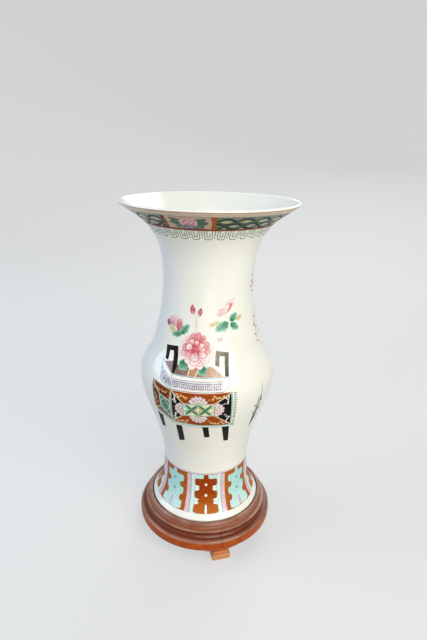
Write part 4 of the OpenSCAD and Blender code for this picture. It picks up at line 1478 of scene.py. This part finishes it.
class VASE_OT_carve_feet(bpy.types.Operator):
    """Eases the edges of the stand's bracket feet and finishes them"""

    bl_idname = "vase.carve_feet"
    bl_label = "Carve feet"

    # Folds that are flat and folds that are eased.
    FLAT, EASED = math.radians(0.5), math.radians(35)
    # In millimetres: top of the toe and radius of the foot, which are worn and painted paler as a highlight,
    # and height below which polish begins, which is partly painted light.
    TOE_H, TOE_R, POLISH_H = 8.5, 95.6, 14

    def execute(self, context):
        ease = context.scene.stand_form.foot_ease
        for name, middle in FEET.items():
            bm = bmesh.new()
            bm.from_mesh(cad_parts[name].data)
            bmesh.ops.remove_doubles(bm, verts=bm.verts, dist=MERGE)
            bmesh.ops.dissolve_limit(bm, angle_limit=self.FLAT, verts=bm.verts, edges=bm.edges)
            sharp = [e for e in bm.edges if e.is_manifold and e.calc_face_angle() > self.EASED]
            if not sharp:
                raise RuntimeError(f"{name} has no edge to ease")
            bmesh.ops.bevel(
                bm, geom=sharp, offset=ease, segments=2, profile=0.6, affect="EDGES", clamp_overlap=True)
            for face in bm.faces:
                face.smooth = True
            mesh = bpy.data.meshes.new(name)
            bm.to_mesh(mesh)
            bm.free()
            mesh.materials.append(lacquered_wood("lacquered_foot_hardwood"))
            mesh.set_sharp_from_angle(angle=SHARP_FORM)
            # Painted highlight in worn grey on the top and the front face of the toe, and painted light in the
            # bright orange low on the foot
            mark_grain(
                mesh, math.radians(middle),
                lambda r, z: 0.5 * near(z, self.TOE_H, 2) + 0.4 * near(r, self.TOE_R, 1.2),
                lambda r, z: np.clip((self.POLISH_H - z) / 4, 0, 1))
            keep_piece("carved_" + name, mesh, "stand", "apron_wood", name)
        return {"FINISHED"}


class VASE_OT_finish_joinery(bpy.types.Operator):
    """Finishes the seat board and the hidden pegs and tongues"""

    bl_idname = "vase.finish_joinery"
    bl_label = "Finish joinery"

    FINISHES = {"seat_board": "oiled_board_wood", "rim_pegs": "bare_bamboo", "apron_tongues": "bare_bamboo"}

    def execute(self, context):
        for name, finish in self.FINISHES.items():
            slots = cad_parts[name].material_slots
            if not slots:
                raise RuntimeError(f"{name} has no material slot")
            for slot in slots:
                slot.link = "OBJECT"
                slot.material = lacquered_wood(finish)
        return {"FINISHED"}


class VASE_OT_set_stage(bpy.types.Operator):
    """Sets the floor, the light and the camera"""

    bl_idname = "vase.set_stage"
    bl_label = "Set stage"

    # Camera place in metres, pitch below level and roll in degrees, focal length and frame in millimetres.
    CAMERA = (0.0078, -0.6296, 0.5611)
    PITCH = 19.86
    ROLL = 1.225
    LENS = 27.11
    FRAME = 36
    # Round floor that sweeps up to a wall, in metres: first ring, flat, sweep and top of the wall; its sides.
    FIRST_R, FLAT_R, SWEEP_R, WALL_H = 0.6, 2.0, 1.0, 4.0
    SIDES = 64
    # Colour that the floor sends back to the object, so that its underside keeps some shade.
    BOUNCE = "#868684"
    # Light that the floor and the wall add where they are seen, for a pale and even ground.
    GLOW = "#BCBDBD"
    # Even light from all sides, and its strength.
    SKY, SKY_STRENGTH = "#F4F4F2", 0.3
    # Soft lamps: place, aim and width in metres, watts, colour.
    LAMPS = (
        ("key_lamp", (1.05, -1.75, 1.3), (0, 0, 0.3), 2.3, 49, "#FFFDF7"),
        ("window_lamp", (-2.1, 0.0, 1.3), (0, 0, 0.3), 1.9, 33, "#D0E2FF"),
        ("back_lamp", (0.7, 2.0, 1.6), (0, 0, 0.3), 2.0, 24, "#FFFFFF"),
        ("top_lamp", (0.0, -0.2, 1.9), (0, 0, 0.3), 0.8, 2.5, "#FFFFFF"),
        ("low_lamp", (0.1, -1.3, 0.3), (0, 0, 0.03), 0.8, 2.8, "#FFF0DC"))

    def floor_paper(self, colour_here):
        """Matt paper that shows a faint unevenness 0.3 m wide."""
        material, tree, shader = new_material("pale_floor")
        place = node(tree, "ShaderNodeTexCoord").outputs["Object"]
        cloud = node(tree, "ShaderNodeTexNoise", (), {"Vector": place, "Scale": 1 / 0.3})
        tone = node(tree, "ShaderNodeMapRange", (), {
            "Value": cloud.outputs["Fac"], "To Min": 0.97, "To Max": 1.0})
        shown = node(tree, "ShaderNodeMix", {"data_type": "RGBA", "blend_type": "MULTIPLY"}, {
            0: 1.0, 6: colour_here, 7: tone.outputs[0]})
        light = node(tree, "ShaderNodeLightPath").outputs
        bounce = node(tree, "ShaderNodeMix", {"data_type": "RGBA"}, {
            0: light["Is Diffuse Ray"], 6: shown.outputs[2], 7: linear(self.BOUNCE)})
        seen = light["Is Camera Ray"]
        for key in ("Is Glossy Ray", "Is Transmission Ray"):
            seen = node(tree, "ShaderNodeMath", {"operation": "MAXIMUM"}, {0: seen, 1: light[key]}).outputs[0]
        feed(tree, shader, {
            "Base Color": bounce.outputs[2], "Emission Strength": seen,
            "Emission Color": linear(self.GLOW), "Roughness": 0.9})
        return material

    def floor_form(self):
        """Mesh of the floor and its wall."""
        arc = rounds((self.FLAT_R, self.SWEEP_R), (self.SWEEP_R, self.SWEEP_R), -90, 0, 16)
        line = [(self.FIRST_R, 0), *arc, (self.FLAT_R + self.SWEEP_R, self.WALL_H)]
        n = len(line)
        turns = [math.tau * i / self.SIDES for i in range(self.SIDES)]
        verts = [(r * math.sin(turn), r * math.cos(turn), z) for turn in turns for r, z in line]
        faces = []
        for i in range(self.SIDES):
            here, there = i * n, (i + 1) % self.SIDES * n
            faces += [(here + k, here + k + 1, there + k + 1, there + k) for k in range(n - 1)]
        mesh = bpy.data.meshes.new("floor")
        mesh.from_pydata(verts, [], [*faces, [i * n for i in range(self.SIDES)]])
        mesh.shade_smooth()
        return mesh

    def execute(self, context):
        scene = context.scene
        mesh = self.floor_form()
        mesh.materials.append(self.floor_paper(scene.vase_finishes.floor))
        floor = bpy.data.objects.new("floor", mesh)
        scene.collection.objects.link(floor)
        world = bpy.data.worlds.new("studio")
        world.use_nodes = True
        feed(world.node_tree, world.node_tree.nodes["Background"], {
            "Color": linear(self.SKY), "Strength": self.SKY_STRENGTH})
        scene.world = world
        for name, place, aim, width, watts, tone in self.LAMPS:
            lamp = bpy.data.lights.new(name, "AREA")
            lamp.shape = "DISK"
            lamp.size = width
            lamp.energy = watts
            lamp.color = linear(tone)[:3]
            holder = bpy.data.objects.new(name, lamp)
            holder.visible_camera = False
            holder.location = place
            holder.rotation_euler = (Vector(aim) - Vector(place)).to_track_quat("-Z", "Y").to_euler()
            scene.collection.objects.link(holder)
        camera = bpy.data.cameras.new("camera")
        camera.lens = self.LENS
        camera.sensor_width = self.FRAME
        viewer = bpy.data.objects.new("camera", camera)
        viewer.location = self.CAMERA
        tilt = Euler((math.radians(90 - self.PITCH), 0, 0)).to_matrix()
        viewer.rotation_euler = (tilt @ Euler((0, 0, math.radians(self.ROLL))).to_matrix()).to_euler()
        scene.collection.objects.link(viewer)
        scene.camera = viewer
        scene.view_settings.view_transform = "Standard"
        return {"FINISHED"}


class VASE_PT_panel(bpy.types.Panel):
    """Shows the steps that make the vase and its stand, and their sizes and colours"""

    bl_label = "Yen yen vase"
    bl_idname = "VASE_PT_panel"
    bl_space_type = "VIEW_3D"
    bl_region_type = "UI"
    bl_category = "Vase"

    def draw(self, context):
        for operator in OPERATORS:
            self.layout.operator(operator.bl_idname)
        for group in (context.scene.vase_form, context.scene.stand_form, context.scene.vase_finishes):
            for name in group.__annotations__:
                self.layout.prop(group, name)


OPERATORS = (
    VASE_OT_set_stage, VASE_OT_throw, VASE_OT_line_lip, VASE_OT_paint_borders, VASE_OT_paint_planter,
    VASE_OT_paint_sprigs, VASE_OT_paint_lappets,
    VASE_OT_turn_rim, VASE_OT_turn_apron, VASE_OT_carve_feet, VASE_OT_finish_joinery)
GROUPS = {"vase_form": VaseForm, "stand_form": StandForm, "vase_finishes": Finishes}


def register():
    for made in (*GROUPS.values(), *OPERATORS, VASE_PT_panel):
        bpy.utils.register_class(made)
    for name, group in GROUPS.items():
        setattr(bpy.types.Scene, name, PointerProperty(type=group))


def unregister():
    for name in GROUPS:
        delattr(bpy.types.Scene, name)
    for made in (VASE_PT_panel, *reversed(OPERATORS), *reversed(GROUPS.values())):
        bpy.utils.unregister_class(made)


def main():
    register()
    for operator in OPERATORS:
        group, name = operator.bl_idname.split(".")
        getattr(getattr(bpy.ops, group), name)()


if __name__ == "__main__":
    main()
